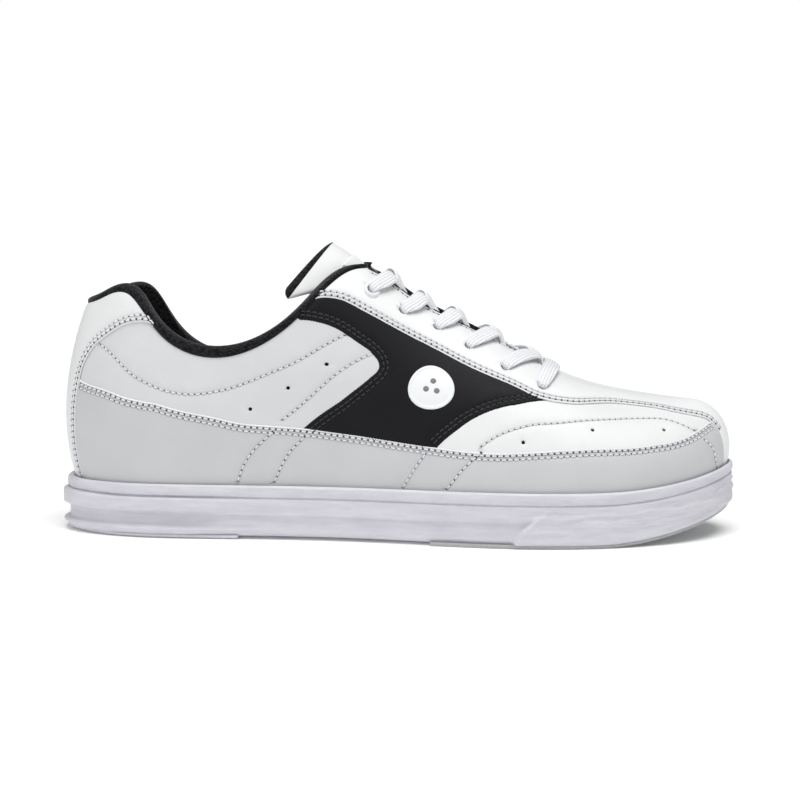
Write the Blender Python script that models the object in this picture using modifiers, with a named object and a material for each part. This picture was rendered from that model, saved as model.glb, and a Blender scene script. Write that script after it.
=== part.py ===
"""Bowling shoe for the right foot, as its cut and sewn pieces.

The shoe stands on z = 0 with its toe towards +X and the little-toe side towards -Y.
Lengths below are in millimetres; meshes are made in metres.
"""
import math

import bmesh
import bpy
import numpy as np
from mathutils import Vector
from mathutils.geometry import delaunay_2d_cdt

MM = 0.001
GAP = 0.4                      # between neighbouring pieces
SEAM_GAP = 0.9                 # between two plies that meet edge to edge

# Thickness of each ply, and how deep its outer face lies below the shoe's outside
PLY = 1.2
PLY_GAP = 0.7                  # between one ply and the next one under it
OVERLAY, BASE, STIFFENER = 0.0, PLY + PLY_GAP, 2 * (PLY + PLY_GAP)
LINING_PLY = 0.8
TUCK = -0.09                   # how far the plies run down inside the sole's rim

# Sole
SOLE_TOP, SOLE_FLOOR, SOLE_BOTTOM = 23.3, 15.5, 1.6
RIM_HEEL, RIM_TOE, RIM_SIDE = 5.0, 2.6, 3.4
RIM_GAP = 0.9                  # between the sole's rim and the upper in it
SPRING_START, SPRING_RUN = 90.0, 60.0
SPRING_SOLE, SPRING_RIM = 12.0, 8.0
PAD_THICK, PAD_INSET = 2.8, 3.0
BOARD_THICK, FOOTBED_THICK, FOOTBED_INSET = 2.0, 4.4, 7.0

# Lacing
HOLE_RADIUS, LACE_RADIUS = 2.2, 1.1
EYELETS = [(-9.4, 108.3), (4.5, 99.3), (19.4, 92.3), (33.3, 84.3), (49.2, 75.3), (65.1, 67.3)]

# Stations round the shoe, heel to toe: x and half widths of the sole outside and inside;
# x, half widths and z of the upper's top line; the arc its side bends through; pinch; bulge.
STATIONS = np.array([
    (-150, 0, 0, -139, 0, 0, 101.5, 48, 1.0, 5.2),
    (-147, -13, 13, -137, -9, 9, 102.5, 48, 1.0, 5.0),
    (-138, -24, 24, -129.5, -17.5, 17.5, 105, 48, 1.0, 3.9),
    (-122, -33, 32.5, -115.5, -25, 24.5, 107, 48, 1.0, 3.0),
    (-100, -37.5, 36, -100, -29, 28.5, 89, 48, 1.0, 2.6),
    (-70, -38.5, 35, -73, -32, 31, 81, 48, 1.0, 2.0),
    (-40, -39.5, 34, -43, -31, 30, 96, 55, 1.0, 1.2),
    (-10, -43, 37, -20, -18, 18, 117, 72, 1.12, 0.8),
    (20, -49, 44.5, 1, 0, 0, 112.5, 88, 1.28, 0.8),
    (45, -53, 51, 23, 0.5, 0.5, 98.6, 90, 1.3, 1.0),
    (65, -54, 54, 45, 1, 1, 86, 90, 1.22, 1.2),
    (88, -51, 53, 68, 1.5, 1.5, 72.3, 90, 1.06, 1.2),
    (111, -43, 47.5, 90, 2.5, 2.5, 64.7, 90, 1.0, 1.4),
    (130, -31.5, 39.5, 108, 3.5, 3.5, 61.4, 90, 0.95, 1.6),
    (143.8, -15.5, 24, 121, 4.2, 4.2, 59.8, 90, 0.95, 2.0),
    (150, 4.3, 4.3, 129, 4.3, 4.3, 59.3, 90, 0.95, 2.2),
], float)
INNER_DROP = np.array([0, 0, 0, 2, 5.5, 6.5, 4.5, 0.5] + [0] * 8)   # how much lower the inner top line is
TOE = len(STATIONS) - 1
X, Y, TOP_X, TOP_Y, TOP_Z, ARC, PINCH, BULGE = range(8)

# Seams on the outer side, as seen from that side: x, y, z with one left open
RAND_SEAM = [(None, -19.6, 68), (-129, None, 65), (-118.5, None, 62), (-109, None, 60),
             (-100, None, 58.4), (-80, None, 54), (-60, None, 50.4),
             (-20, None, 47), (25, None, 41.5), (65, None, 41.3), (90, None, 42.3),
             (110, None, 42.8), (126, None, 45), (None, -9.5, 50.5)]
EYESTAY_SEAM = [(-30, None, 105.5), (-20, None, 102.8), (-10, None, 98), (5, None, 90),
                (24, None, 80.4), (50, None, 69), (64, None, 63), (78, None, 60.5),
                (96, None, 60), (112, None, 58), (124, None, 55.5), (None, -9, 52),
                (None, -8.3, 45), (None, -8, 32)]
SADDLE_REAR = [(-41, None, 96.5), (-30, None, 95), (-16, None, 88), (-7, None, 81.5),
               (-4.5, None, 75.5), (-9, None, 70.5), (-20, None, 61.5), (-35, None, 50.5),
               (-55, None, 34), (-66, None, 24)]
SADDLE_FRONT = [(2, None, 24), (8, None, 30), (20, None, 43), (28, None, 50), (36, None, 55.5),
                (46, None, 59.5), (58, None, 61.8), (76, None, 62.5)]
TAB_SEAM = [(-104, None, 94.8), (-114, None, 93.8), (-123.5, None, 89.6), (None, -23, 83.5),
            (None, -20.6, 76), (None, -19.6, 68), (None, -18.5, 48), (None, -17, 24)]
THROAT_EDGE = [(-9, -11, None), (10, -11, None), (30, -10, None), (50, -8, None),
               (64, -6, None), (70, -2, None)]
EMBLEM_CENTRE, EMBLEM_RADIUS = (17.8, None, 67.4), 10.0


# ---------------------------------------------------------------- the upper's surface

def closed_spline(rows):
    """Second derivatives of the closed cubic spline through rows at 0, 1, 2, ..."""
    count = len(rows)
    system = 4 * np.eye(count) + np.eye(count, k=1) + np.eye(count, k=-1)
    system[0, -1] = system[-1, 0] = 1
    return np.linalg.solve(system, 6 * (np.roll(rows, -1, 0) - 2 * rows + np.roll(rows, 1, 0)))


OUTSIDE, INSIDE = STATIONS[:, [0, 1, 3, 4, 6, 7, 8, 9]], STATIONS[:, [0, 2, 3, 5, 6, 7, 8, 9]]
INSIDE[:, TOP_Z] -= INNER_DROP
LOOP = np.vstack([OUTSIDE, INSIDE[-2:0:-1]])
BENDS = closed_spline(LOOP)
ROUND = len(LOOP)


def station(t, slope=False):
    """The stations' values at t: 0 at the heel, TOE at the toe, on round the inner side."""
    t = np.mod(t, ROUND)
    i = np.floor(t).astype(int) % ROUND
    j = (i + 1) % ROUND
    b = (t - np.floor(t))[..., None]
    a = 1 - b
    if slope:
        return LOOP[j] - LOOP[i] + ((3 * b**2 - 1) * BENDS[j] - (3 * a**2 - 1) * BENDS[i]) / 6
    return a * LOOP[i] + b * LOOP[j] + ((a**3 - a) * BENDS[i] + (b**3 - b) * BENDS[j]) / 6


def plan_normal(t, first=X):
    """Horizontal unit vector out of the shoe, square to the sole's edge or the top line."""
    run = station(t, True)[..., first:first + 2]
    out = np.stack([run[..., 1], -run[..., 0]], -1)
    return out / np.linalg.norm(out, axis=-1, keepdims=True)


def rim_width(t):
    turn = np.minimum(np.mod(t, ROUND), ROUND - np.mod(t, ROUND)) / TOE
    heel, toe = np.exp(-(turn / 0.16) ** 2), np.exp(-((1 - turn) / 0.2) ** 2)
    return RIM_SIDE + (RIM_HEEL - RIM_SIDE) * heel + (RIM_TOE - RIM_SIDE) * toe


def spring(x, z):
    """How far the toe spring lifts a point of the sole."""
    run = np.clip((np.asarray(x, float) - SPRING_START) / SPRING_RUN, 0, 1.1)
    level = np.clip(z / SOLE_TOP, 0, 1)
    return SPRING_SOLE * run**1.8 * (1 - level) + SPRING_RIM * run**2 * level


def skin(t, h):
    """The shoe's outside: h is 0 where it meets the sole and 1 on the top line."""
    t, h = np.broadcast_arrays(np.asarray(t, float), np.asarray(h, float))
    s, out = station(t), plan_normal(t)
    foot = s[..., :2] - out * rim_width(t)[..., None]
    foot_z = SOLE_TOP - 0.3 + spring(s[..., X], SOLE_TOP)
    up, arc, power = np.clip(h, 0, 1), np.radians(s[..., ARC]), s[..., PINCH]
    across = 1 - np.maximum(np.cos(up * arc), 0) ** power
    across /= 1 - np.maximum(np.cos(arc), 0) ** power
    rise = (np.sin(up * arc) / np.sin(arc)) ** power
    bulge = np.sin(math.pi * up**0.75) * s[..., BULGE]
    plan = foot + (s[..., TOP_X:TOP_Z] - foot) * across[..., None] + out * bulge[..., None]
    z = foot_z + (s[..., TOP_Z] - foot_z) * rise + np.minimum(h, 0) * 40
    return np.concatenate([plan, z[..., None]], -1)


def slopes(t, h, step=1e-3):
    """The skin's derivatives along t and h."""
    high = np.minimum(np.asarray(h) + step, 0.999)
    low = high - 2 * step
    along = (skin(np.asarray(t) + step, h) - skin(np.asarray(t) - step, h)) / (2 * step)
    return along, (skin(t, high) - skin(t, low)) / (2 * step)


def facing(t, h):
    """The skin's outward direction; on the closed ridge, midway between its two sides."""
    turn = np.mod(t, ROUND)
    closed = (turn > 8) & (turn < ROUND - 8)
    on_ridge = (np.asarray(h) > 0.99) & closed
    h = np.where(closed, np.minimum(h, 0.97), h)
    normal = np.cross(*slopes(t, h))
    normal = normal / np.linalg.norm(normal, axis=-1, keepdims=True)
    across = np.cross(*slopes(ROUND - np.asarray(t), h))
    across = across / np.linalg.norm(across, axis=-1, keepdims=True)
    normal = np.where(on_ridge[..., None], normal + across, normal)
    return normal / np.linalg.norm(normal, axis=-1, keepdims=True)


def under(t, h, depth):
    """A point below the skin by depth."""
    return skin(t, h) - facing(t, h) * np.asarray(depth)[..., None]


SEARCH_T, SEARCH_H = np.meshgrid(np.linspace(0, TOE, 301), np.linspace(0, 1, 101), indexing="ij")
SEARCH = skin(SEARCH_T, SEARCH_H)


def locate(point, ends=(0, TOE)):
    """The (t, h) on the outer side of a point with two known coordinates."""
    known = [k for k in range(3) if point[k] is not None]
    target = np.array([point[k] for k in known], float)
    miss = ((SEARCH[..., known] - target) ** 2).sum(-1)
    miss = miss + 1e6 * ((SEARCH_T < ends[0]) | (SEARCH_T > ends[1]))
    i = np.unravel_index(np.argmin(miss), miss.shape)
    place = np.array([SEARCH_T[i], SEARCH_H[i]])
    for _ in range(15):
        along, up = slopes(*place)
        change = np.linalg.lstsq(np.stack([along, up], -1)[known],
                                 target - skin(*place)[known], rcond=1e-6)[0]
        place = place + 0.7 * np.clip(change, -0.3, 0.3)
        place[1] = min(max(place[1], TUCK), 1)
    return place


def seam(points, ends=(0, TOE)):
    """A seam's (t, h) points; a point given by y and z is looked for only between the ends."""
    return np.array([locate(p, ends if p[0] is None else (0, TOE)) for p in points])


def catmull(points, steps):
    """A smooth curve through points, with so many steps between two of them."""
    points = np.asarray(points, float)
    rows = np.arange(len(points) - 1)
    a, b, c, d = (points[np.clip(rows + k, 0, len(points) - 1)][:, None] for k in (-1, 0, 1, 2))
    u = np.linspace(0, 1, steps, endpoint=False)[:, None]
    curve = 0.5 * (2 * b + (c - a) * u + (2 * a - 5 * b + 4 * c - d) * u**2
                   + (3 * b - a - 3 * c + d) * u**3)
    return np.vstack([curve.reshape(-1, points.shape[1]), points[-1:]])


def even(curve, places, count):
    """So many points of the curve, evenly spaced along its places in mm."""
    length = np.r_[0, np.cumsum(np.linalg.norm(np.diff(places, axis=0), axis=1))]
    at = np.linspace(0, length[-1], count)
    return np.stack([np.interp(at, length, column) for column in curve.T], -1)


def smooth(points, spacing):
    """Points about spacing mm apart on the skin along a smooth curve through (t, h) points."""
    curve = catmull(points, 24)
    places = skin(*curve.T)
    length = np.linalg.norm(np.diff(places, axis=0), axis=1).sum()
    return even(curve, places, max(2, round(length / spacing)) + 1)


def shifted(curve, distance):
    """The curve moved sideways on the skin by distance, to its left as seen from outside."""
    along, up = slopes(*curve.T)
    run = np.gradient(skin(*curve.T), axis=0)
    side = np.cross(facing(*curve.T), run)
    side *= distance / np.linalg.norm(side, axis=-1, keepdims=True)
    basis = np.stack([along, up], -1)
    moves = [np.linalg.lstsq(basis[k], side[k], rcond=None)[0] for k in range(len(curve))]
    return curve + np.array(moves)


def mirrored(curve):
    """The same curve on the inner side, run the other way."""
    curve = np.array(curve)[::-1]
    return np.stack([-curve[:, 0], curve[:, 1]], -1)


# ---------------------------------------------------------------- meshes

def material(name, colour, roughness, metallic=0.0):
    made = bpy.data.materials.new(name)
    made.use_nodes = True
    shader = made.node_tree.nodes["Principled BSDF"]
    shader.inputs["Base Color"].default_value = (*colour, 1)
    shader.inputs["Roughness"].default_value = roughness
    shader.inputs["Metallic"].default_value = metallic
    return made


def add_object(name, mesh, look, collection):
    made = bpy.data.objects.new(name, mesh)
    mesh.materials.append(look)
    collection.objects.link(made)
    return made


def mesh_from(name, points, faces):
    """A smooth-shaded mesh from points in mm."""
    mesh = bpy.data.meshes.new(name)
    mesh.from_pydata([tuple(p) for p in np.asarray(points) * MM], [], faces)
    mesh.validate()
    mesh.shade_smooth()
    return mesh


def add_shell(name, mesh, thickness, look, collection):
    """An open surface whose faces look outwards, made a ply of the given thickness."""
    made = add_object(name, mesh, look, collection)
    ply = made.modifiers.new("Ply", "SOLIDIFY")
    ply.thickness = thickness * MM
    ply.offset = -1
    return made


PATTERN_MIDDLE, PATTERN_DEEP = 5.0, 80.0   # centre line and depth of the opened-out skin


def pattern(t, h):
    """The skin opened out flat round its top line, where a panel's triangles are chosen."""
    turn = np.mod(t, ROUND)
    outer_side = turn <= TOE
    t = np.where(outer_side, turn, ROUND - turn)
    flat = station(t)[..., TOP_X:TOP_Z] + plan_normal(t) * (1 - np.asarray(h))[..., None] * PATTERN_DEEP
    flat[..., 1] = np.where(outer_side, flat[..., 1], 2 * PATTERN_MIDDLE - flat[..., 1])
    return flat


def inside_loop(points, loop):
    x, y = points.T
    hit = np.zeros(len(points), bool)
    for (ax, ay), (bx, by) in zip(loop, np.roll(loop, -1, 0)):
        crosses = (ay > y) != (by > y)
        hit ^= crosses & (x < (bx - ax) * (y - ay) / (by - ay + 1e-12) + ax)
    return hit


def panel(name, outline, depth, t_step=0.5, h_step=0.125):
    """An open surface below the skin by depth, inside a closed (t, h) outline."""
    low, high = outline[:, 0].min(), outline[:, 0].max()
    t = np.arange(math.ceil(low / t_step), math.floor(high / t_step) + 1) * t_step
    h = np.arange(round(1 / h_step) + 1) * h_step
    grid = np.stack(np.meshgrid(t, h, indexing="ij"), -1).reshape(-1, 2)
    on_ridge = np.isclose(grid[:, 1], 1)
    spans = low < TOE < high
    grid = grid[~on_ridge | (spans & (grid[:, 0] <= TOE) & (grid[:, 0] > 10.9))]
    flat, edge = pattern(*grid.T), pattern(*outline.T)
    near = np.min(np.linalg.norm(flat[:, None] - edge[None], axis=-1), axis=1)
    grid = grid[inside_loop(flat, edge) & (near > 4)]
    places = np.vstack([outline, grid])
    flat = pattern(*places.T)
    ring = [list(range(len(outline)))]
    verts, _, faces, origin, _, _ = delaunay_2d_cdt([Vector(p) for p in flat], [], ring, 1, 1e-5)
    places = places[[first[0] for first in origin]]
    points = under(*places.T, depth(*places.T) if callable(depth) else np.full(len(places), depth))
    mesh = mesh_from(name, points, faces)
    work = bmesh.new()
    work.from_mesh(mesh)
    bmesh.ops.recalc_face_normals(work, faces=work.faces)
    middle = places[faces[0][0]]
    work.faces.ensure_lookup_table()
    if np.dot(np.array(work.faces[0].normal), facing(*middle)) < 0:
        bmesh.ops.reverse_faces(work, faces=work.faces)
    work.to_mesh(mesh)
    work.free()
    return mesh


def loft(name, rings, closed=True, caps=True):
    """A surface through rings of equal count, with flat caps on its first and last ring."""
    count = len(rings[0])
    faces = []
    for r in range(len(rings) - 1):
        for k in range(count if closed else count - 1):
            a, b = r * count + k, r * count + (k + 1) % count
            faces.append((a, b, b + count, a + count))
    if caps:
        faces.append(tuple(range(count - 1, -1, -1)))
        faces.append(tuple(range((len(rings) - 1) * count, len(rings) * count)))
    return mesh_from(name, np.vstack(rings), faces)


def face_out(mesh):
    work = bmesh.new()
    work.from_mesh(mesh)
    bmesh.ops.recalc_face_normals(work, faces=work.faces)
    work.to_mesh(mesh)
    work.free()
    return mesh


def cut(target, cutter):
    made = target.modifiers.new("Cut " + cutter.name, "BOOLEAN")
    made.operation = "DIFFERENCE"
    made.object = cutter
    made.solver = "EXACT"


def as_cutter(name, mesh, collection):
    made = bpy.data.objects.new(name, mesh)
    made.hide_render = True
    made.display_type = "WIRE"
    collection.objects.link(made)
    return made


# ---------------------------------------------------------------- sole

def sole_ring(t, z, inset):
    """A level outline of the sole, drawn in from its edge and lifted by the toe spring."""
    s = station(t)
    plan = s[..., :2] - plan_normal(t) * np.broadcast_to(inset, t.shape)[..., None]
    return np.column_stack([plan, z + spring(s[..., X], z)])


def around(count=60):
    """Stations all round the shoe, evenly placed on both sides of the centre line."""
    return (np.arange(count) + 0.5) * ROUND / count


def solid_from_rings(name, rings):
    """A closed solid: walls between the rings, and ends spanned straight across the shoe."""
    count = len(rings[0])
    faces = []
    for r in range(len(rings) - 1):
        for k in range(count):
            a, b = r * count + k, r * count + (k + 1) % count
            faces.append((a, b, b + count, a + count))
    last = (len(rings) - 1) * count
    for k in range(count // 2 - 1):
        low = (k, count - 1 - k, count - 2 - k, k + 1)
        faces += [low, tuple(last + i for i in low[::-1])]
    return face_out(mesh_from(name, np.vstack(rings), faces))


def ease(x, start, end):
    u = np.clip((x - start) / (end - start), 0, 1)
    return u * u * (3 - 2 * u)


def wall_recess(x, z):
    """The side wall's sunk band: full height at the waist, between two flanges at the heel."""
    waist = 1 - ease(x, 48, 62)
    lower = np.where(z < 5.5, ease(x, -85, -50), 1.0)
    return 1.5 * waist * lower


def midsole(parts, cutters, look):
    t = around()
    x = station(t)[..., X]
    rim = rim_width(t)
    rings = [sole_ring(t, SOLE_BOTTOM, 1.2 + wall_recess(x, 0))]
    rings += [sole_ring(t, z, 0.2 + wall_recess(x, z)) for z in (2.8, 5.0, 6.2, 11.0)]
    upper_wall = ((12.2, 0.1), (17.3, 0.0), (18.0, 0.7), (18.8, 0.2), (22.4, 0.2), (SOLE_TOP, 0.8))
    rings += [sole_ring(t, z, inset) for z, inset in upper_wall]
    rings += [sole_ring(t, SOLE_TOP, rim - RIM_GAP), sole_ring(t, SOLE_FLOOR, rim - RIM_GAP)]
    made = add_object("midsole", solid_from_rings("midsole", rings), look, parts)
    for name, t in (("slide_recess", slide_stations()), ("heel_recess", heel_stations())):
        rings = [sole_ring(t, z, PAD_INSET - GAP) for z in (-2.0, PAD_THICK + GAP)]
        cut(made, as_cutter(name, solid_from_rings(name, pad_ends(rings, GAP)), cutters))


def slide_stations():
    return np.linspace(7.9, ROUND - 7.9, 44)


def heel_stations():
    return np.linspace(-5.1, 5.1, 32)


def pad_ends(rings, spare):
    """The pads' straight ends moved out by the clearance."""
    for ring in rings:
        way = np.sign(ring[0, 0] - ring[len(ring) // 2, 0])
        ring[[0, -1], 0] += way * spare
    return rings


def sole_pads(parts, slide_look, heel_look):
    for name, t, look in (("slide_sole_pad", slide_stations(), slide_look),
                          ("heel_rubber_pad", heel_stations(), heel_look)):
        rings = [sole_ring(t, z, PAD_INSET) for z in (0.0, PAD_THICK)]
        add_object(name, solid_from_rings(name, rings), look, parts)


def insoles(parts, board_look, footbed_look):
    t = around(48)
    rim = rim_width(t)
    low = SOLE_FLOOR + GAP
    rings = [sole_ring(t, z, rim + 0.3) for z in (low, low + BOARD_THICK)]
    add_object("insole_board", solid_from_rings("insole_board", rings), board_look, parts)
    low += BOARD_THICK + GAP
    rings = [sole_ring(t, low + up, rim + FOOTBED_INSET + chamfer)
             for up, chamfer in ((0, 0), (FOOTBED_THICK - 1, 0), (FOOTBED_THICK, 1))]
    add_object("footbed", solid_from_rings("footbed", rings), footbed_look, parts)


# ---------------------------------------------------------------- leather panels

def joined(*curves):
    """One closed outline from curves laid end to end."""
    points = np.vstack(curves)
    place = skin(*points.T)
    keep = np.linalg.norm(place - np.roll(place, 1, 0), axis=1) > 0.5
    return points[keep]


def rib(t, low, high, spacing=9.0):
    return smooth([(t, low), (t, (low + high) / 2), (t, high)], spacing)


def level(h, start, end, spacing=7.0):
    """A run along the shoe at one height."""
    steps = np.linspace(start, end, 2 + int(abs(end - start) * 2))
    return smooth(np.column_stack([steps, np.full(len(steps), h)]), spacing)


EDGE = 0.985                   # the height of the plies' top edges
THROAT_START, THROAT_BASE = 7.38, 11.25   # stations where the throat's edge starts and ends
COLLAR_END, FOAM_END = 7.08, 6.2
BACK_SEAM = 0.035              # station of the quarters' rear edge
UNDERLAY = 5.0                 # how far the saddle and vamp run in under the eyestay
HEEL_END, TOE_END = (0, 4), (12.5, TOE)
RAND_TOP = np.vstack([seam(RAND_SEAM[:1], HEEL_END), seam(RAND_SEAM[1:-1]),
                      seam(RAND_SEAM[-1:], TOE_END)])
EYESTAY_LOW = seam(EYESTAY_SEAM, TOE_END)
REAR_SADDLE, FRONT_SADDLE = seam(SADDLE_REAR), seam(SADDLE_FRONT)
TAB = seam(TAB_SEAM, HEEL_END)
THROAT = np.vstack([[THROAT_START, EDGE], seam(THROAT_EDGE)])


def to_foot(curve):
    """The curve carried straight on to the ply's lower edge."""
    (t0, h0), (t1, h1) = curve[-2:]
    reach = (TUCK - h1) / (h1 - h0)
    return np.vstack([curve, [t1 + (t1 - t0) * reach, TUCK]])


TAB_SIDE, EYESTAY_SIDE = smooth(to_foot(TAB), 7), smooth(to_foot(EYESTAY_LOW), 7)
TAB_SIDE[0, 1] = EYESTAY_SIDE[0, 1] = EDGE


def below(curve, h):
    """The part of a curve, run downwards, that lies below h."""
    return curve[np.flatnonzero(curve[:, 1] > h)[-1]:]


def backstay_outline():
    side = TAB_SIDE
    top = level(EDGE, -side[0, 0], side[0, 0], 6)
    foot = level(TUCK, side[-1, 0], -side[-1, 0], 5)
    return joined(top, side, foot, mirrored(side))


def rand_outline():
    top = smooth(RAND_TOP, 7)
    rear = shifted(below(TAB_SIDE, top[0, 1]), SEAM_GAP)
    front = shifted(below(EYESTAY_SIDE, top[-1, 1]), -SEAM_GAP)
    rear[-1, 1] = front[-1, 1] = TUCK
    top[0], top[-1] = rear[0], front[0]
    foot = level(TUCK, front[-1, 0], rear[-1, 0])
    return joined(top, front, foot, rear[::-1])


def quarter_outline():
    front = smooth(to_foot(REAR_SADDLE), 5)
    front[0, 1] = EDGE
    return joined(rib(BACK_SEAM, TUCK, EDGE), level(EDGE, BACK_SEAM, front[0, 0]), front,
                  level(TUCK, front[-1, 0], BACK_SEAM))


def saddle_outline():
    rear = shifted(smooth(to_foot(REAR_SADDLE), 5), SEAM_GAP)
    rear[0, 1], rear[-1, 1] = EDGE, TUCK
    front = smooth(to_foot(FRONT_SADDLE[::-1]), 7)
    hidden = smooth(shifted(EYESTAY_LOW[:7], UNDERLAY), 9)
    hidden[0] = (6.72, EDGE)
    return joined(level(EDGE, rear[0, 0], hidden[0, 0]), hidden, front,
                  level(TUCK, front[-1, 0], rear[-1, 0]), rear[::-1])


def vamp_outline():
    rear = shifted(smooth(to_foot(FRONT_SADDLE[::-1]), 7), SEAM_GAP)[::-1]
    rear[0, 1] = TUCK
    hidden = smooth(shifted(EYESTAY_LOW[7:12], UNDERLAY), 8)
    end = TOE - 0.06
    return joined(rear, hidden, rib(end, hidden[-1, 1], TUCK, 6), level(TUCK, end, rear[0, 0]))


def throat_outline(spacing, inset):
    """The throat's edge on both sides, from the outer corner down and back up."""
    outer = smooth(THROAT, spacing)
    outer = shifted(outer, -inset) if inset else outer
    outer[0, 1] = EDGE
    base = [(THROAT_BASE, 1.0)]
    inner = np.stack([ROUND - outer[:, 0], outer[:, 1]], -1)
    return outer, base, inner


def across_front(curve):
    """A curve near the toe, on the inner side."""
    curve = np.array(curve)[::-1]
    return np.stack([ROUND - curve[:, 0], curve[:, 1]], -1)


def eyestay_outline():
    low = EYESTAY_SIDE
    outer, base, inner = throat_outline(7, 0)
    foot = level(TUCK, low[-1, 0], ROUND - low[-1, 0], 5)
    return joined(level(EDGE, outer[0, 0], low[0, 0])[1:-1], low, foot, across_front(low),
                  level(EDGE, ROUND - low[0, 0], ROUND - outer[0, 0])[1:-1], inner, base, outer[::-1])


def vamp_lining_outline():
    outer, base, inner = throat_outline(8, 0.0)
    start = outer[0, 0]
    rear = COLLAR_END + 0.04
    return joined(level(EDGE, start, rear)[1:-1], rib(rear, EDGE, TUCK),
                  level(TUCK, rear, ROUND - rear, 9), rib(ROUND - rear, TUCK, EDGE),
                  level(EDGE, ROUND - rear, ROUND - start)[1:-1],
                  inner, base, outer[::-1])


def puff_outline():
    side = smooth([(12.2, TUCK), (12.35, 0.3), (12.8, 0.7), (13.6, 0.999)], 7)
    return joined(side[::-1], level(TUCK, 12.2, ROUND - 12.2, 8), across_front(side[::-1]))


def both_sides(name, outline, depth, thickness, look, parts):
    """A ply on the outer side and its twin on the inner side."""
    for side, edge in (("_lateral", outline), ("_medial", mirrored(outline))):
        add_shell(name + side, panel(name + side, edge, depth), thickness, look, parts)


def eyelet_places():
    places = [locate((x, None, z)) for x, z in EYELETS]
    return places, [np.array([ROUND - t, h]) for t, h in places]


def frame_at(t, h):
    """A turn whose Z points out of the skin."""
    return Vector(facing(np.float64(t), np.float64(h))).to_track_quat("Z", "Y")


def eyelet_cutters(cutters):
    made = []
    for side, places in zip(("lateral", "medial"), eyelet_places()):
        for row, (t, h) in enumerate(places):
            bpy.ops.mesh.primitive_cylinder_add(vertices=12, radius=HOLE_RADIUS * MM, depth=14 * MM,
                                                location=skin(t, h) * MM)
            cutter = bpy.context.object
            cutter.rotation_mode = "QUATERNION"
            cutter.rotation_quaternion = frame_at(t, h)
            cutter.name = f"eyelet_hole_{side}_{row}"
            cutter.hide_render = True
            cutter.display_type = "WIRE"
            for holder in cutter.users_collection:
                holder.objects.unlink(cutter)
            cutters.objects.link(cutter)
            made.append(cutter)
    return made


def uppers(parts, cutters, looks):
    eyestay = add_shell("eyestay_vamp", panel("eyestay_vamp", eyestay_outline(), OVERLAY), PLY,
                        looks["white"], parts)
    lining = add_shell("vamp_lining", panel("vamp_lining", vamp_lining_outline(), front_lining_depth),
                       LINING_PLY, looks["textile"], parts)
    for cutter in eyelet_cutters(cutters):
        cut(eyestay, cutter)
        cut(lining, cutter)
    add_shell("backstay", panel("backstay", backstay_outline(), OVERLAY), PLY, looks["white"], parts)
    both_sides("rand", rand_outline(), OVERLAY, PLY, looks["grey_white"], parts)
    both_sides("quarter", quarter_outline(), BASE, PLY, looks["grey_white"], parts)
    both_sides("saddle", saddle_outline(), BASE, PLY, looks["black"], parts)
    both_sides("vamp_side", vamp_outline(), BASE, PLY, looks["white"], parts)
    add_shell("toe_puff", panel("toe_puff", puff_outline(), STIFFENER), 1.0, looks["board"], parts)
    counter = joined(level(TUCK, 3.6, -3.6, 8), rib(-3.6, TUCK, 0.3), level(0.42, -3.2, 3.2, 8),
                     rib(3.6, 0.3, TUCK))
    add_shell("heel_counter", panel("heel_counter", counter, STIFFENER), PLY, looks["board"], parts)
    t, h = locate(EMBLEM_CENTRE)
    turn = np.linspace(0, 2 * math.pi, 24, endpoint=False)
    along, up = slopes(t, h)
    basis = np.stack([along, up], -1)
    side = along / np.linalg.norm(along)
    rise = np.cross(facing(t, h), side)
    disc = [np.linalg.lstsq(basis, EMBLEM_RADIUS * (math.cos(a) * side + math.sin(a) * rise),
                            rcond=None)[0] for a in turn]
    outline = np.array([t, h]) + np.array(disc)
    add_shell("emblem_lateral", panel("emblem_lateral", outline, GAP), LINING_PLY, looks["white"], parts)


def front_lining_depth(t, h):
    """The vamp lining's depth: it passes under the toe puff."""
    toe = ease(TOE - np.abs(t - TOE), 11.2, 12.0)
    return STIFFENER + 0.2 + (PLY + PLY_GAP) * toe


# ---------------------------------------------------------------- collar

def band_height(t):
    """How far the rolled collar stands above the leather's edge."""
    return np.interp(np.abs(t), (0, 3, 4, 5, 6, 7, 7.4), (1.5, 2.4, 3.2, 3.2, 2.5, 1.4, 1.0))


def pad_depth(t):
    return np.interp(np.abs(t), (0, 5, 6, 6.8, 7.4), (8.5, 8.5, 7.5, 5.2, 4.4))


def lining_face(t, h):
    """Depth of the collar lining's face towards the foot."""
    low = STIFFENER + LINING_PLY + (PLY + PLY_GAP) * (1 - ease(np.abs(t), 3.8, 4.8))
    return low + (pad_depth(t) - low) * ease(h, 0.45, 0.85)


def above_edge(t, inward, up):
    s = station(t)
    plan = s[..., TOP_X:TOP_Z] - plan_normal(t, TOP_X) * np.asarray(inward)[..., None]
    return np.column_stack([plan, s[..., TOP_Z] + up])


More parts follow.
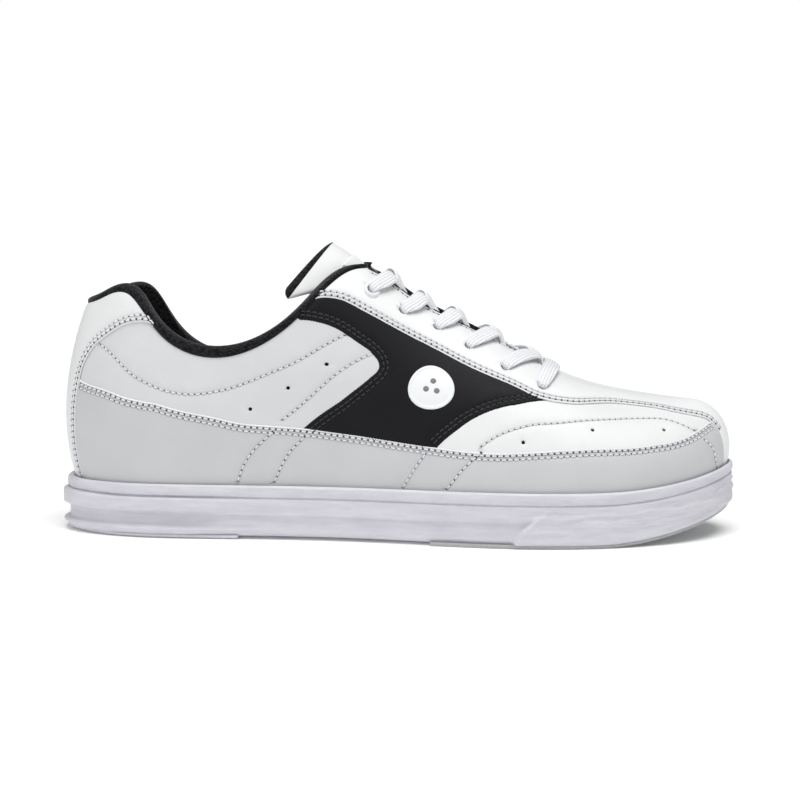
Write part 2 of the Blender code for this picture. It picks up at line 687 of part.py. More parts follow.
def collar(parts, lining_look, foam_look):
    t = np.linspace(-COLLAR_END, COLLAR_END, 33)
    deep, tall = pad_depth(t), band_height(t)
    heights = (TUCK, 0.2, 0.45, 0.6, 0.75, 0.88, 0.95)
    rows = [under(t, np.full(t.shape, h), lining_face(t, h)) for h in heights]
    for inward, up in ((1.0, 0.05), (0.93, 0.55), (0.74, 0.9), (0.52, 1.0)):
        rows.append(above_edge(t, inward * deep, up * tall))
    rows.append(above_edge(t, 0.3 * deep + 0.3, 0.86 * tall))
    rows.append(above_edge(t, np.full(t.shape, 1.7), 0.45 * tall + 0.7))
    mesh = loft("collar_lining", rows, closed=False, caps=False)
    mesh.flip_normals()
    add_shell("collar_lining", mesh, LINING_PLY, lining_look, parts)

    t = np.linspace(-FOAM_END, FOAM_END, 29)
    deep, tall = pad_depth(t), band_height(t)
    spare = LINING_PLY + GAP
    heights = (0.64, 0.78, 0.9)
    outer = [under(t, np.full(t.shape, h), np.full(t.shape, STIFFENER)) for h in heights]
    top = [above_edge(t, np.full(t.shape, 3.7), np.full(t.shape, -0.7)),
           above_edge(t, 0.52 * deep, tall - spare - 0.7),
           above_edge(t, 0.74 * deep - 0.6, 0.9 * tall - spare - 0.9)]
    inner = [under(t, np.full(t.shape, h), lining_face(t, h) - spare - 0.2) for h in heights[::-1]]
    sections = np.stack(outer + top + inner, axis=1)
    add_object("collar_foam", face_out(loft("collar_foam", list(sections))), foam_look, parts)


# ---------------------------------------------------------------- tongue

TONGUE_LINE = [(82, 59.5), (70, 63.3), (50, 73.8), (30, 84.8), (12, 95.6), (0, 103), (-9, 110.6),
               (-18, 120), (-28.5, 128)]
TONGUE_DROP = (0.012, 0.012, 0.016, 0.025, 0.034, 0.041, 0.050, 0.052, 0.056)
TONGUE_WIDE = (19, 21, 23, 23.5, 21.5, 17.7, 16.0, 17.6, 21.8)
TONGUE_SHELL, TONGUE_FOAM = 1.0, 3.4
LABEL_ALONG, LABEL_ACROSS, LABEL_THICK = (6.05, 7.15), (-0.5, 0.5), 0.8


def tongue_grid(along, across, depth, reach=0.0):
    """Points below the tongue's upper face; along runs 0 to 8 up its centre line."""
    line = np.array(TONGUE_LINE, float)
    steps = np.arange(len(line))
    values = [np.interp(along, steps, col) for col in (*line.T, TONGUE_DROP, TONGUE_WIDE)]
    x, z, drop, wide = values
    e = 0.5
    run = np.stack([np.interp(along + e, steps, c) - np.interp(along - e, steps, c) for c in line.T], -1)
    run /= np.linalg.norm(run, axis=-1, keepdims=True)
    down = np.stack([-run[..., 1], run[..., 0]], -1)
    y = across * wide
    fall = drop * y**2
    tilt = 2 * drop * y
    scale = 1 / np.sqrt(1 + tilt**2)
    side = y - np.asarray(depth) * tilt * scale
    sink = fall + np.asarray(depth) * scale
    return np.stack([x + down[..., 0] * sink + run[..., 0] * reach, side,
                     z + down[..., 1] * sink + run[..., 1] * reach], -1)


def tongue(parts, looks):
    across = np.linspace(-1, 1, 9)
    along = np.linspace(0, 8, 14)
    a, v = np.meshgrid(along, across, indexing="ij")

    def sheet(name, depth, thickness, look, more=()):
        rows = list(tongue_grid(a, v, depth)) + [tongue_grid(np.full(across.shape, 8.0), across, d, e)
                                                 for e, d in more]
        mesh = loft(name, rows, closed=False, caps=False)
        thicken_down(mesh)
        return add_shell(name, mesh, thickness, look, parts)

    def foam_at(u):
        return TONGUE_FOAM * (1 - 0.6 * u**2)

    sheet("tongue_shell", 0 * v, TONGUE_SHELL, looks["white"])
    upper = TONGUE_SHELL + GAP
    top = tongue_grid(a, v * 0.96, upper + 0 * v)
    bottom = tongue_grid(a, v * 0.96, upper + foam_at(v))
    rings = [np.vstack([up, low[::-1]]) for up, low in zip(top, bottom)]
    add_object("tongue_foam", face_out(loft("tongue_foam", rings)), looks["foam"], parts)
    deep = upper + foam_at(v) + GAP
    edge = upper + foam_at(across) + GAP
    sheet("tongue_lining", deep, LINING_PLY, looks["textile_black"],
          [(1.6, edge), (2.9, edge * 0.8), (3.4, edge * 0.5), (2.9, edge * 0.2), (1.6, edge * 0.02 + 0.1)])


def thicken_down(mesh):
    """Faces turned up, so that the ply's thickness goes down towards the foot."""
    if mesh.polygons[0].normal.z < 0:
        mesh.flip_normals()


def tongue_label(parts, look):
    a, v = np.meshgrid(np.linspace(*LABEL_ALONG, 4), np.linspace(*LABEL_ACROSS, 7), indexing="ij")
    rows = list(tongue_grid(a, v, -GAP - LABEL_THICK + 0 * v))
    mesh = loft("tongue_label", rows, closed=False, caps=False)
    thicken_down(mesh)
    add_shell("tongue_label", mesh, LABEL_THICK, look, parts)


# ---------------------------------------------------------------- lacing

def route(points, count):
    """Evenly spaced points on a smooth curve through hand-placed ones."""
    curve = catmull(points, 16)
    return even(curve, curve, count)


def tube(name, points, radius, look, parts):
    line = bpy.data.curves.new(name, "CURVE")
    line.dimensions = "3D"
    line.bevel_depth = radius * MM
    line.bevel_resolution = 2
    line.use_fill_caps = True
    spline = line.splines.new("POLY")
    spline.points.add(len(points) - 1)
    for point, place in zip(spline.points, points):
        point.co = (*(place * MM), 1)
    made = bpy.data.objects.new(name, line)
    line.materials.append(look)
    parts.objects.link(made)
    return made


OVER, BELOW = 2.0, 6.4          # lace centre above the eyestay, and below it under the flap
GROMMET_OVER = 3.3
CROSS_LOW, CROSS_HIGH = 2.6, 5.8  # lace centres above the tongue where two strands cross


def on_side(x, y, depth):
    """A point under the skin over plan place (x, y); y is signed, the skin's outer side is -Y."""
    t, h = locate((x, -abs(y), None), (6, TOE))
    t = t if y < 0 else ROUND - t
    return under(np.float64(t), np.float64(h), np.float64(depth))


def tongue_height(x):
    line = np.array(TONGUE_LINE, float)[::-1]
    return np.interp(x, *line.T)


def strand(row, side, above):
    """From the hole of a row, on one side, over the throat to under the next row's far hole."""
    (x0, y0, _), (x1, y1, _) = (skin(*locate((x, None, z))) for x, z in EYELETS[row:row + 2])
    lift = GROMMET_OVER if row == 0 else OVER
    wide = np.interp(x0 + np.array([0.3, 0.7]) * (x1 - x0), *np.array(THROAT_EDGE, float).T[:2])
    near, far = np.abs(wide) / np.abs((y0, y1))
    height = (CROSS_HIGH if above else CROSS_LOW) + 0.35 * (11 - np.abs(wide).mean())

    def at(q, depth):
        share = (q + 1) / 2
        return on_side(x0 + (x1 - x0) * share, side * (y0 + (-y1 - y0) * share), depth)

    x = (x0 + x1) / 2
    centre = np.array([x, 0, tongue_height(x) + height])
    return [at(-1, -lift), at(-0.8, -lift), at(-near + 0.06, -OVER), centre,
            at(far - 0.05, BELOW), at(1, BELOW)]


def half_lace(side, above):
    """From a top hole down to the lowest row's bar."""
    points = []
    for row in range(len(EYELETS) - 1):
        points += strand(row, side, above)
        side = -side
    x, y, _ = skin(*locate((EYELETS[-1][0], None, EYELETS[-1][1])))
    return points + [on_side(x, side * y * share, -OVER) for share in (1, 0.7, 0.3)]


# Each end of the lace: down the lining as x and z, then over the footbed as x, y and z
TAIL_DOWN = [(-10, 96), (-9, 87), (-7, 74), (-5, 58), (-1, 43)]
TAIL_FLAT = [(7, -29, 30.5), (17, -30.5, 25), (30, -29.5, 24.3), (40, -24, 24.3), (42, -15, 24.3),
             (34, -8, 24.3), (19, -7, 24.3), (0, -9.5, 24.3), (-22, -13, 24.3), (-46, -14, 24.3),
             (-70, -12, 24.3), (-92, -10, 24.3), (-110, -12, 24.3)]
AGLET_LENGTH, AGLET_RADIUS = 16.0, 1.3


def lacing(parts, lace_look, aglet_look, grommet_look):
    outer, inner = half_lace(1, True), half_lace(-1, False)
    ends = {side: [on_side(EYELETS[0][0], side * y, BELOW) for y in (TOP_HOLE_Y, TOP_HOLE_Y - 5)]
            for side in (1, -1)}
    points = ends[1][::-1] + outer + inner[::-1] + ends[-1]
    tube("lace", np.array(points), LACE_RADIUS, lace_look, parts)
    for side, name in ((1, "lateral"), (-1, "medial")):
        hole, first = ends[side]
        on = (first - hole) / np.linalg.norm(first - hole)
        path = [first + on * GAP, first + on * 2.5]
        for x, z in TAIL_DOWN:
            t, h = locate((x, None, z))
            path.append(under(np.float64(side * t), np.float64(h), np.float64(BELOW - 0.1)))
        path = route(path + [np.array([x, y * side, z]) for x, y, z in TAIL_FLAT], 45)
        tube("lace_tail_" + name, path, LACE_RADIUS, lace_look, parts)
        way = path[-1] - path[-2]
        way /= np.linalg.norm(way)
        tip = np.array([path[-1] + way * GAP, path[-1] + way * (GAP + AGLET_LENGTH)])
        tube("aglet_" + name, tip, AGLET_RADIUS, aglet_look, parts)
        t, h = top_hole(side)
        bpy.ops.mesh.primitive_torus_add(major_segments=16, minor_segments=6, major_radius=3.0 * MM,
                                         minor_radius=0.65 * MM)
        ring = bpy.context.object
        ring.name = "grommet_" + name
        ring.data.name = ring.name
        ring.location = Vector(under(np.float64(t), np.float64(h), -np.float64(1.1))) * MM
        ring.rotation_mode = "QUATERNION"
        ring.rotation_quaternion = frame_at(t, h)
        ring.data.materials.append(grommet_look)
        ring.data.shade_smooth()
        for holder in ring.users_collection:
            holder.objects.unlink(ring)
        parts.objects.link(ring)


def top_hole(side):
    t, h = locate((EYELETS[0][0], None, EYELETS[0][1]))
    return (t, h) if side > 0 else (ROUND - t, h)


TOP_HOLE_Y = float(skin(*top_hole(1))[1])


# ---------------------------------------------------------------- the whole shoe

def main():
    for old in list(bpy.data.objects):
        bpy.data.objects.remove(old)
    parts = bpy.data.collections.new("bowling_shoe")
    cutters = bpy.data.collections.new("cutters")
    for holder in (parts, cutters):
        bpy.context.scene.collection.children.link(holder)
    looks = {
        "white": material("White leather", (0.83, 0.85, 0.85), 0.45),
        "grey_white": material("Light grey leather", (0.66, 0.68, 0.68), 0.45),
        "black": material("Black leather", (0.02, 0.02, 0.024), 0.4),
        "textile": material("White lining cloth", (0.75, 0.75, 0.75), 0.9),
        "textile_black": material("Black knitted lining", (0.012, 0.012, 0.014), 0.95),
        "foam": material("Grey foam", (0.35, 0.35, 0.36), 0.9),
        "board": material("Fibre board", (0.45, 0.38, 0.28), 0.85),
        "midsole": material("White moulded EVA", (0.8, 0.79, 0.84), 0.55),
        "slide": material("Grey microfibre", (0.5, 0.51, 0.51), 0.95),
        "heel": material("White rubber", (0.7, 0.7, 0.72), 0.6),
        "lace": material("White cotton lace", (0.88, 0.89, 0.9), 0.85),
        "aglet": material("Clear plastic", (0.8, 0.82, 0.84), 0.2),
        "grommet": material("White plastic", (0.85, 0.87, 0.88), 0.35),
    }
    midsole(parts, cutters, looks["midsole"])
    sole_pads(parts, looks["slide"], looks["heel"])
    insoles(parts, looks["board"], looks["textile_black"])
    uppers(parts, cutters, looks)
    collar(parts, looks["textile_black"], looks["foam"])
    tongue(parts, looks)
    tongue_label(parts, looks["black"])
    lacing(parts, looks["lace"], looks["aglet"], looks["grommet"])


main()
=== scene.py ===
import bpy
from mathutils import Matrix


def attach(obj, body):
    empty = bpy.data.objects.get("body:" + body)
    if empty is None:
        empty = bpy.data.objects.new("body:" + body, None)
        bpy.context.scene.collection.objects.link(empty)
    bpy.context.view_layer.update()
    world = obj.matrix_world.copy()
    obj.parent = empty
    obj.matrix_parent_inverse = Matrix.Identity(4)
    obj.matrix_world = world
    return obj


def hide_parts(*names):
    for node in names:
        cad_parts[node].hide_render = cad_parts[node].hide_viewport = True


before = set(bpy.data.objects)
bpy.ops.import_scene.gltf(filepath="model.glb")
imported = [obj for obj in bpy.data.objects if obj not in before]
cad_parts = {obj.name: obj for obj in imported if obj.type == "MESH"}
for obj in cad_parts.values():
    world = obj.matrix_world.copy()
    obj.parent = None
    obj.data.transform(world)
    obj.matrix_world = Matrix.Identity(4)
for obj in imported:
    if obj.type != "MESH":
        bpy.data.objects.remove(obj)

"""Looks of the bowling shoe. Lengths are in millimetres; meshes are made in metres.

The shoe's outside is one surface, skin(t, h): t runs round the shoe from the heel (0) to the
toe (15) and back along the inner side (to 30), h from the sole (0) to the top line (1).
"""
import math
from collections import namedtuple

import bmesh
import bpy
import numpy as np
from mathutils import Vector, noise
from mathutils.geometry import delaunay_2d_cdt
from mathutils.kdtree import KDTree

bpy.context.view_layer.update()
MM = 0.001
COARSE = 1.0

# ---------------------------------------------------------------- the surface

SOLE_TOP, SOLE_FLOOR, SOLE_BOTTOM = 23.3, 15.5, 1.6
RIM_HEEL, RIM_TOE, RIM_SIDE = 5.0, 2.6, 3.4
SPRING_START, SPRING_RUN, SPRING_SOLE, SPRING_RIM = 90.0, 60.0, 12.0, 8.0
TUCK, EDGE = -0.09, 0.985       # the plies' lowest edge, inside the rim, and their top edge
TUCK_REACH = 40.0              # mm below the rim for each unit of h under 0
STIFFENER, LINING_PLY, PLY_STEP = 3.8, 0.8, 1.9

STATIONS = np.array([
    (-150, 0, 0, -139, 0, 0, 101.5, 48, 1.0, 5.2),
    (-147, -13, 13, -137, -9, 9, 102.5, 48, 1.0, 5.0),
    (-138, -24, 24, -129.5, -17.5, 17.5, 105, 48, 1.0, 3.9),
    (-122, -33, 32.5, -115.5, -25, 24.5, 107, 48, 1.0, 3.0),
    (-100, -37.5, 36, -100, -29, 28.5, 89, 48, 1.0, 2.6),
    (-70, -38.5, 35, -73, -32, 31, 81, 48, 1.0, 2.0),
    (-40, -39.5, 34, -43, -31, 30, 96, 55, 1.0, 1.2),
    (-10, -43, 37, -20, -18, 18, 117, 72, 1.12, 0.8),
    (20, -49, 44.5, 1, 0, 0, 112.5, 88, 1.28, 0.8),
    (45, -53, 51, 23, 0.5, 0.5, 98.6, 90, 1.3, 1.0),
    (65, -54, 54, 45, 1, 1, 86, 90, 1.22, 1.2),
    (88, -51, 53, 68, 1.5, 1.5, 72.3, 90, 1.06, 1.2),
    (111, -43, 47.5, 90, 2.5, 2.5, 64.7, 90, 1.0, 1.4),
    (130, -31.5, 39.5, 108, 3.5, 3.5, 61.4, 90, 0.95, 1.6),
    (143.8, -15.5, 24, 121, 4.2, 4.2, 59.8, 90, 0.95, 2.0),
    (150, 4.3, 4.3, 129, 4.3, 4.3, 59.3, 90, 0.95, 2.2),
], float)
INNER_DROP = np.array([0, 0, 0, 2, 5.5, 6.5, 4.5, 0.5] + [0] * 8)   # the inner top line is lower
TOE = len(STATIONS) - 1
X, Y, TOP_X, TOP_Y, TOP_Z, ARC, PINCH, BULGE = range(8)

# Seams on the outer side: x, y, z with one left open
RAND_SEAM = [(None, -19.6, 68), (-129, None, 65), (-118.5, None, 62), (-109, None, 60),
             (-100, None, 58.4), (-80, None, 54), (-60, None, 50.4),
             (-20, None, 47), (25, None, 41.5), (65, None, 41.3), (90, None, 42.3),
             (110, None, 42.8), (126, None, 45), (None, -9.5, 50.5)]
EYESTAY_SEAM = [(-33.6, None, 104.8), (-23, None, 104.3), (-11, None, 98.6), (5, None, 90),
                (24, None, 80.4), (50, None, 69), (64, None, 63), (78, None, 60.5),
                (96, None, 60), (112, None, 58), (124, None, 55.5), (None, -9, 52),
                (None, -8.3, 45), (None, -8, 32)]
SADDLE_REAR = [(-41, None, 96.5), (-30, None, 95), (-16, None, 88), (-7, None, 81.5),
               (-4.5, None, 75.5), (-9, None, 70.5), (-20, None, 61.5), (-35, None, 50.5),
               (-55, None, 34), (-66, None, 24)]
SADDLE_FRONT = [(2, None, 24), (8, None, 30), (20, None, 43), (28, None, 50), (36, None, 55.5),
                (46, None, 59.5), (58, None, 61.8), (76, None, 62.5)]
TAB_SEAM = [(-104, None, 94.8), (-114, None, 93.8), (-123.5, None, 89.6), (None, -23, 83.5),
            (None, -20.6, 76), (None, -19.6, 68), (None, -18.5, 48), (None, -17, 24)]
THROAT_EDGE = [(-9, -11, None), (10, -11, None), (30, -10, None), (50, -8, None),
               (64, -6, None), (70, -2, None)]
EYELETS = [(-9.4, 108.3), (4.5, 99.3), (19.4, 92.3), (33.3, 84.3), (49.2, 75.3), (65.1, 67.3)]
EMBLEM = (17.8, None, 67.4)

# Decorative stitching (x, z) on the quarter, the vamp and the rand
QUARTER_ROWS = [[(-129.5, 84), (-116, 73.2), (-101.8, 65.8), (-88, 63.3), (-73, 65.3), (-56, 71.3),
                 (-38.2, 79.3), (-20.4, 89.3)],
                [(-8, 81.5), (-26.4, 70.4), (-47, 52.6)]]
RAND_ROWS = [[(-51.2, 47.3), (-58.6, 40.3), (-63.6, 33.3), (-66.6, 25.3)],
             [(-37.3, 45.3), (-43.2, 39.3), (-47, 33.3), (-50.6, 25.3)],
             [(15.4, 39.3), (10.4, 32.3), (5.5, 24.3)],
             [(39.2, 40.5), (35, 36.5), (30, 31.5), (24.5, 24.5)],
             [(135.6, 43.5), (139.5, 39.5), (140.6, 34.5), (141.6, 31)]]
VAMP_ROW = [(39.2, 43.3), (47.2, 48.3), (60.1, 52.3), (73, 53.3), (89.9, 54.3), (106.8, 54.3),
            (119.7, 53.3), (131.6, 48.3)]
QUARTER_HOLES = [(-61.1, 57.1), (-44.6, 66.4), (-28, 76.8)]
VAMP_HOLES = [(57.1, 45.3), (86.9, 50.3), (118, 49.3)]


def closed_spline(rows):
    count = len(rows)
    system = 4 * np.eye(count) + np.eye(count, k=1) + np.eye(count, k=-1)
    system[0, -1] = system[-1, 0] = 1
    return np.linalg.solve(system, 6 * (np.roll(rows, -1, 0) - 2 * rows + np.roll(rows, 1, 0)))


OUTSIDE, INSIDE = STATIONS[:, [0, 1, 3, 4, 6, 7, 8, 9]], STATIONS[:, [0, 2, 3, 5, 6, 7, 8, 9]]
INSIDE[:, TOP_Z] -= INNER_DROP
LOOP = np.vstack([OUTSIDE, INSIDE[-2:0:-1]])
BENDS = closed_spline(LOOP)
ROUND = len(LOOP)


def station(t, slope=False):
    t = np.mod(t, ROUND)
    i = np.floor(t).astype(int) % ROUND
    j = (i + 1) % ROUND
    b = (t - np.floor(t))[..., None]
    a = 1 - b
    if slope:
        return LOOP[j] - LOOP[i] + ((3 * b**2 - 1) * BENDS[j] - (3 * a**2 - 1) * BENDS[i]) / 6
    return a * LOOP[i] + b * LOOP[j] + ((a**3 - a) * BENDS[i] + (b**3 - b) * BENDS[j]) / 6


def plan_normal(t, first=X):
    run = station(t, True)[..., first:first + 2]
    out = np.stack([run[..., 1], -run[..., 0]], -1)
    return out / np.linalg.norm(out, axis=-1, keepdims=True)


def rim_width(t):
    turn = np.minimum(np.mod(t, ROUND), ROUND - np.mod(t, ROUND)) / TOE
    heel, toe = np.exp(-(turn / 0.16) ** 2), np.exp(-((1 - turn) / 0.2) ** 2)
    return RIM_SIDE + (RIM_HEEL - RIM_SIDE) * heel + (RIM_TOE - RIM_SIDE) * toe


def spring(x, z):
    run = np.clip((np.asarray(x, float) - SPRING_START) / SPRING_RUN, 0, 1.1)
    level = np.clip(z / SOLE_TOP, 0, 1)
    return SPRING_SOLE * run**1.8 * (1 - level) + SPRING_RIM * run**2 * level


def skin(t, h):
    """The place of (t, h) on the shoe's outside."""
    t, h = np.broadcast_arrays(np.asarray(t, float), np.asarray(h, float))
    s, out = station(t), plan_normal(t)
    foot = s[..., :2] - out * rim_width(t)[..., None]
    foot_z = SOLE_TOP - 0.3 + spring(s[..., X], SOLE_TOP)
    up, arc, power = np.clip(h, 0, 1), np.radians(s[..., ARC]), s[..., PINCH]
    across = 1 - np.maximum(np.cos(up * arc), 0) ** power
    across /= 1 - np.maximum(np.cos(arc), 0) ** power
    rise = (np.sin(up * arc) / np.sin(arc)) ** power
    bulge = np.sin(math.pi * up**0.75) * s[..., BULGE]
    plan = foot + (s[..., TOP_X:TOP_Z] - foot) * across[..., None] + out * bulge[..., None]
    z = foot_z + (s[..., TOP_Z] - foot_z) * rise + np.minimum(h, 0) * TUCK_REACH
    return np.concatenate([plan, z[..., None]], -1)


def slopes(t, h, step=1e-3):
    high = np.minimum(np.asarray(h) + step, 0.999)
    low = high - 2 * step
    along = (skin(np.asarray(t) + step, h) - skin(np.asarray(t) - step, h)) / (2 * step)
    return along, (skin(t, high) - skin(t, low)) / (2 * step)


def unit(v):
    return v / np.maximum(np.linalg.norm(v, axis=-1, keepdims=True), 1e-12)


def facing(t, h):
    """The outward direction, blended with the far side's on the closed ridge in front."""
    turn = np.mod(t, ROUND)
    closed = (turn > 8) & (turn < ROUND - 8)
    near_ridge = np.clip((np.asarray(h) - 0.9) / 0.1, 0, 1) * closed
    h = np.where(closed, np.minimum(h, 0.97), h)
    normal = unit(np.cross(*slopes(t, h)))
    across = unit(np.cross(*slopes(ROUND - np.asarray(t), h)))
    return unit(normal + across * near_ridge[..., None] ** 2)


def under(t, h, depth):
    return skin(t, h) - facing(t, h) * np.asarray(depth, float)[..., None]


SEARCH_T, SEARCH_H = np.meshgrid(np.linspace(0, TOE, 301), np.linspace(0, 1, 101), indexing="ij")
SEARCH = skin(SEARCH_T, SEARCH_H)


def locate(point, ends=(0, TOE)):
    """The (t, h) of a point on the outer side, with one of its x, y and z left open."""
    known = [k for k in range(3) if point[k] is not None]
    target = np.array([point[k] for k in known], float)
    miss = ((SEARCH[..., known] - target) ** 2).sum(-1)
    miss = miss + 1e6 * ((SEARCH_T < ends[0]) | (SEARCH_T > ends[1]))
    i = np.unravel_index(np.argmin(miss), miss.shape)
    place = np.array([SEARCH_T[i], SEARCH_H[i]])
    for _ in range(15):
        along, up = slopes(*place)
        change = np.linalg.lstsq(np.stack([along, up], -1)[known],
                                 target - skin(*place)[known], rcond=1e-6)[0]
        place = place + 0.7 * np.clip(change, -0.3, 0.3)
        place[1] = min(max(place[1], TUCK), 1)
    return place


def seam(points, ends=(0, TOE)):
    return np.array([locate(p, ends if p[0] is None else (0, TOE)) for p in points])


def catmull(points, steps=24):
    points = np.asarray(points, float)
    ends = np.pad(points, ((1, 1), (0, 0)), mode="edge")
    u = np.linspace(0, 1, steps, endpoint=False)[:, None]
    curve = [0.5 * (2 * b + (c - a) * u + (2 * a - 5 * b + 4 * c - d) * u**2
                    + (3 * b - a - 3 * c + d) * u**3)
             for a, b, c, d in zip(ends, ends[1:], ends[2:], ends[3:])]
    return np.vstack(curve + [points[-1:]])


def even(curve, places, spacing):
    """The curve cut again into equal steps of its length through places."""
    length = np.r_[0, np.cumsum(np.linalg.norm(np.diff(places, axis=0), axis=1))]
    steps = max(2, round(length[-1] / spacing))
    at = np.linspace(0, length[-1], steps + 1)
    return np.stack([np.interp(at, length, c) for c in np.asarray(curve).T], -1)


def smooth(points, spacing):
    curve = catmull(points)
    return even(curve, skin(*curve.T), spacing)


def shifted(curve, distance):
    """The curve moved sideways on the skin, to its left as seen from outside."""
    along, up = slopes(*curve.T)
    run = np.gradient(skin(*curve.T), axis=0)
    side = unit(np.cross(facing(*curve.T), run)) * distance
    basis = np.stack([along, up], -1)
    square = np.einsum("kij,kil->kjl", basis, basis) + 1e-9 * np.eye(2)
    moves = np.linalg.solve(square, np.einsum("kij,ki->kj", basis, side)[..., None])[..., 0]
    return curve + moves


def mirrored(curve):
    curve = np.array(curve)[::-1]
    return np.stack([-curve[:, 0], curve[:, 1]], -1)


def across_front(curve):
    curve = np.array(curve)[::-1]
    return np.stack([ROUND - curve[:, 0], curve[:, 1]], -1)


def tangents(t, h):
    """How (t, h) moves a place on the skin, and two directions that lie on it there."""
    along, up = slopes(np.float64(t), np.float64(h))
    side = unit(along)
    rise = np.cross(facing(np.float64(t), np.float64(h)), side)
    return np.stack([along, up], -1), side, rise


def disc_places(t, h, radius, count, start=0.0):
    """The (t, h) of count points on a circle round a place on the skin."""
    basis, side, rise = tangents(t, h)
    moves = [np.linalg.lstsq(basis, radius * (math.cos(a) * side + math.sin(a) * rise), rcond=None)[0]
             for a in start + np.linspace(0, 2 * math.pi, count, endpoint=False)]
    return np.array([t, h]) + np.array(moves)


def ease(x, start, end):
    u = np.clip((np.asarray(x, float) - start) / (end - start), 0, 1)
    return u * u * (3 - 2 * u)


# ---------------------------------------------------------------- meshes

def make(name, points, faces, body="shoe", look=None, fix_normals=False):
    """A smooth-shaded mesh piece from points in mm, riding on a body.

    fix_normals makes its faces agree, and face outwards where they close a solid.
    """
    mesh = bpy.data.meshes.new(name)
    mesh.from_pydata((np.asarray(points) * MM).tolist(), [], faces)
    mesh.validate()
    if fix_normals:
        work = bmesh.new()
        work.from_mesh(mesh)
        bmesh.ops.recalc_face_normals(work, faces=work.faces)
        work.to_mesh(mesh)
        work.free()
    mesh.shade_smooth()
    made = bpy.data.objects.new(name, mesh)
    bpy.context.scene.collection.objects.link(made)
    if look:
        mesh.materials.append(look)
    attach(made, body)
    return made


def attribute(mesh, name, values):
    made = mesh.attributes.new(name, "FLOAT", "POINT")
    made.data.foreach_set("value", np.asarray(values, np.float32))


def shell(made, thickness):
    ply = made.modifiers.new("Ply", "SOLIDIFY")
    ply.thickness = thickness * MM
    ply.offset = -1
    return made


def grid_faces(rows, count, closed):
    faces = []
    for r in range(rows - 1):
        for k in range(count if closed else count - 1):
            a, b = r * count + k, r * count + (k + 1) % count
            faces.append((a, b, b + count, a + count))
    return faces


def tube_faces(rings, sides):
    """The faces of a tube with a cap at each end."""
    last = (rings - 1) * sides
    return grid_faces(rings, sides, True) + [tuple(range(sides - 1, -1, -1)),
                                             tuple(range(last, last + sides))]


def spanned(rings):
    """Points and faces of stacked rings, the first and last spanned straight across."""
    count = len(rings[0])
    faces = grid_faces(len(rings), count, True)
    last = (len(rings) - 1) * count
    for k in range(count // 2 - 1):
        low = (k, count - 1 - k, count - 2 - k, k + 1)
        faces += [low, tuple(last + i for i in low[::-1])]
    return np.vstack(rings), faces


PATTERN_MIDDLE, PATTERN_DEPTH = 5.0, 80.0


def pattern(t, h):
    """The skin opened out flat, where a panel's triangles are chosen."""
    turn = np.mod(t, ROUND)
    outer_side = turn <= TOE
    t = np.where(outer_side, turn, ROUND - turn)
    flat = station(t)[..., TOP_X:TOP_Z] + plan_normal(t) * (1 - np.asarray(h))[..., None] * PATTERN_DEPTH
    flat[..., 1] = np.where(outer_side, flat[..., 1], 2 * PATTERN_MIDDLE - flat[..., 1])
    return flat


def inside_loop(points, loop):
    x, y = points.T
    hit = np.zeros(len(points), bool)
    for (ax, ay), (bx, by) in zip(loop, np.roll(loop, -1, 0)):
        crosses = (ay > y) != (by > y)
        hit ^= crosses & (x < (bx - ax) * (y - ay) / (by - ay + 1e-12) + ax)
    return hit


def tree_of(points):
    tree = KDTree(len(points))
    for i, p in enumerate(points):
        tree.insert(p, i)
    tree.balance()
    return tree


def distances(points, tree):
    return np.array([tree.find(p)[2] for p in points])


PITCH = 2.7                    # needle holes along a seam
EDGE_RINGS = (0.22, 0.5, 0.9, 1.4, 2.1)         # mm in from a panel's edge
ROW_OFFSETS = (-1.0, -0.5, 0.0, 0.5, 1.0)       # mm to each side of a row of stitches
PIT_RINGS = ((0.0, 1.0, 1), (0.55, 1.0, 12), (0.74, 0.9, 12), (0.88, 0.12, 12), (1.2, 0.02, 12))
PIT_REACH = 0.8
STEP_T, STEP_H = 26.0, 75.0                     # mm on the skin for 1 of t and 1 of h
CLOSED_FROM, RIDGE_FROM = 7.5, 11.35            # t where the throat and the ridge begin
EDGE_ROLL, EDGE_FALL = 0.9, 0.42                # the rounded edge's width and depth
ALL_ROWS, ALL_PITS = [], []

Row = namedtuple("Row", "holes thread")         # a row of stitches by its needle holes


def row(curve, thread, offset=0.0):
    curve = np.asarray(curve, float)
    if offset:
        curve = shifted(smooth(curve, 2.0), offset)
    return Row(smooth(curve, PITCH), thread)


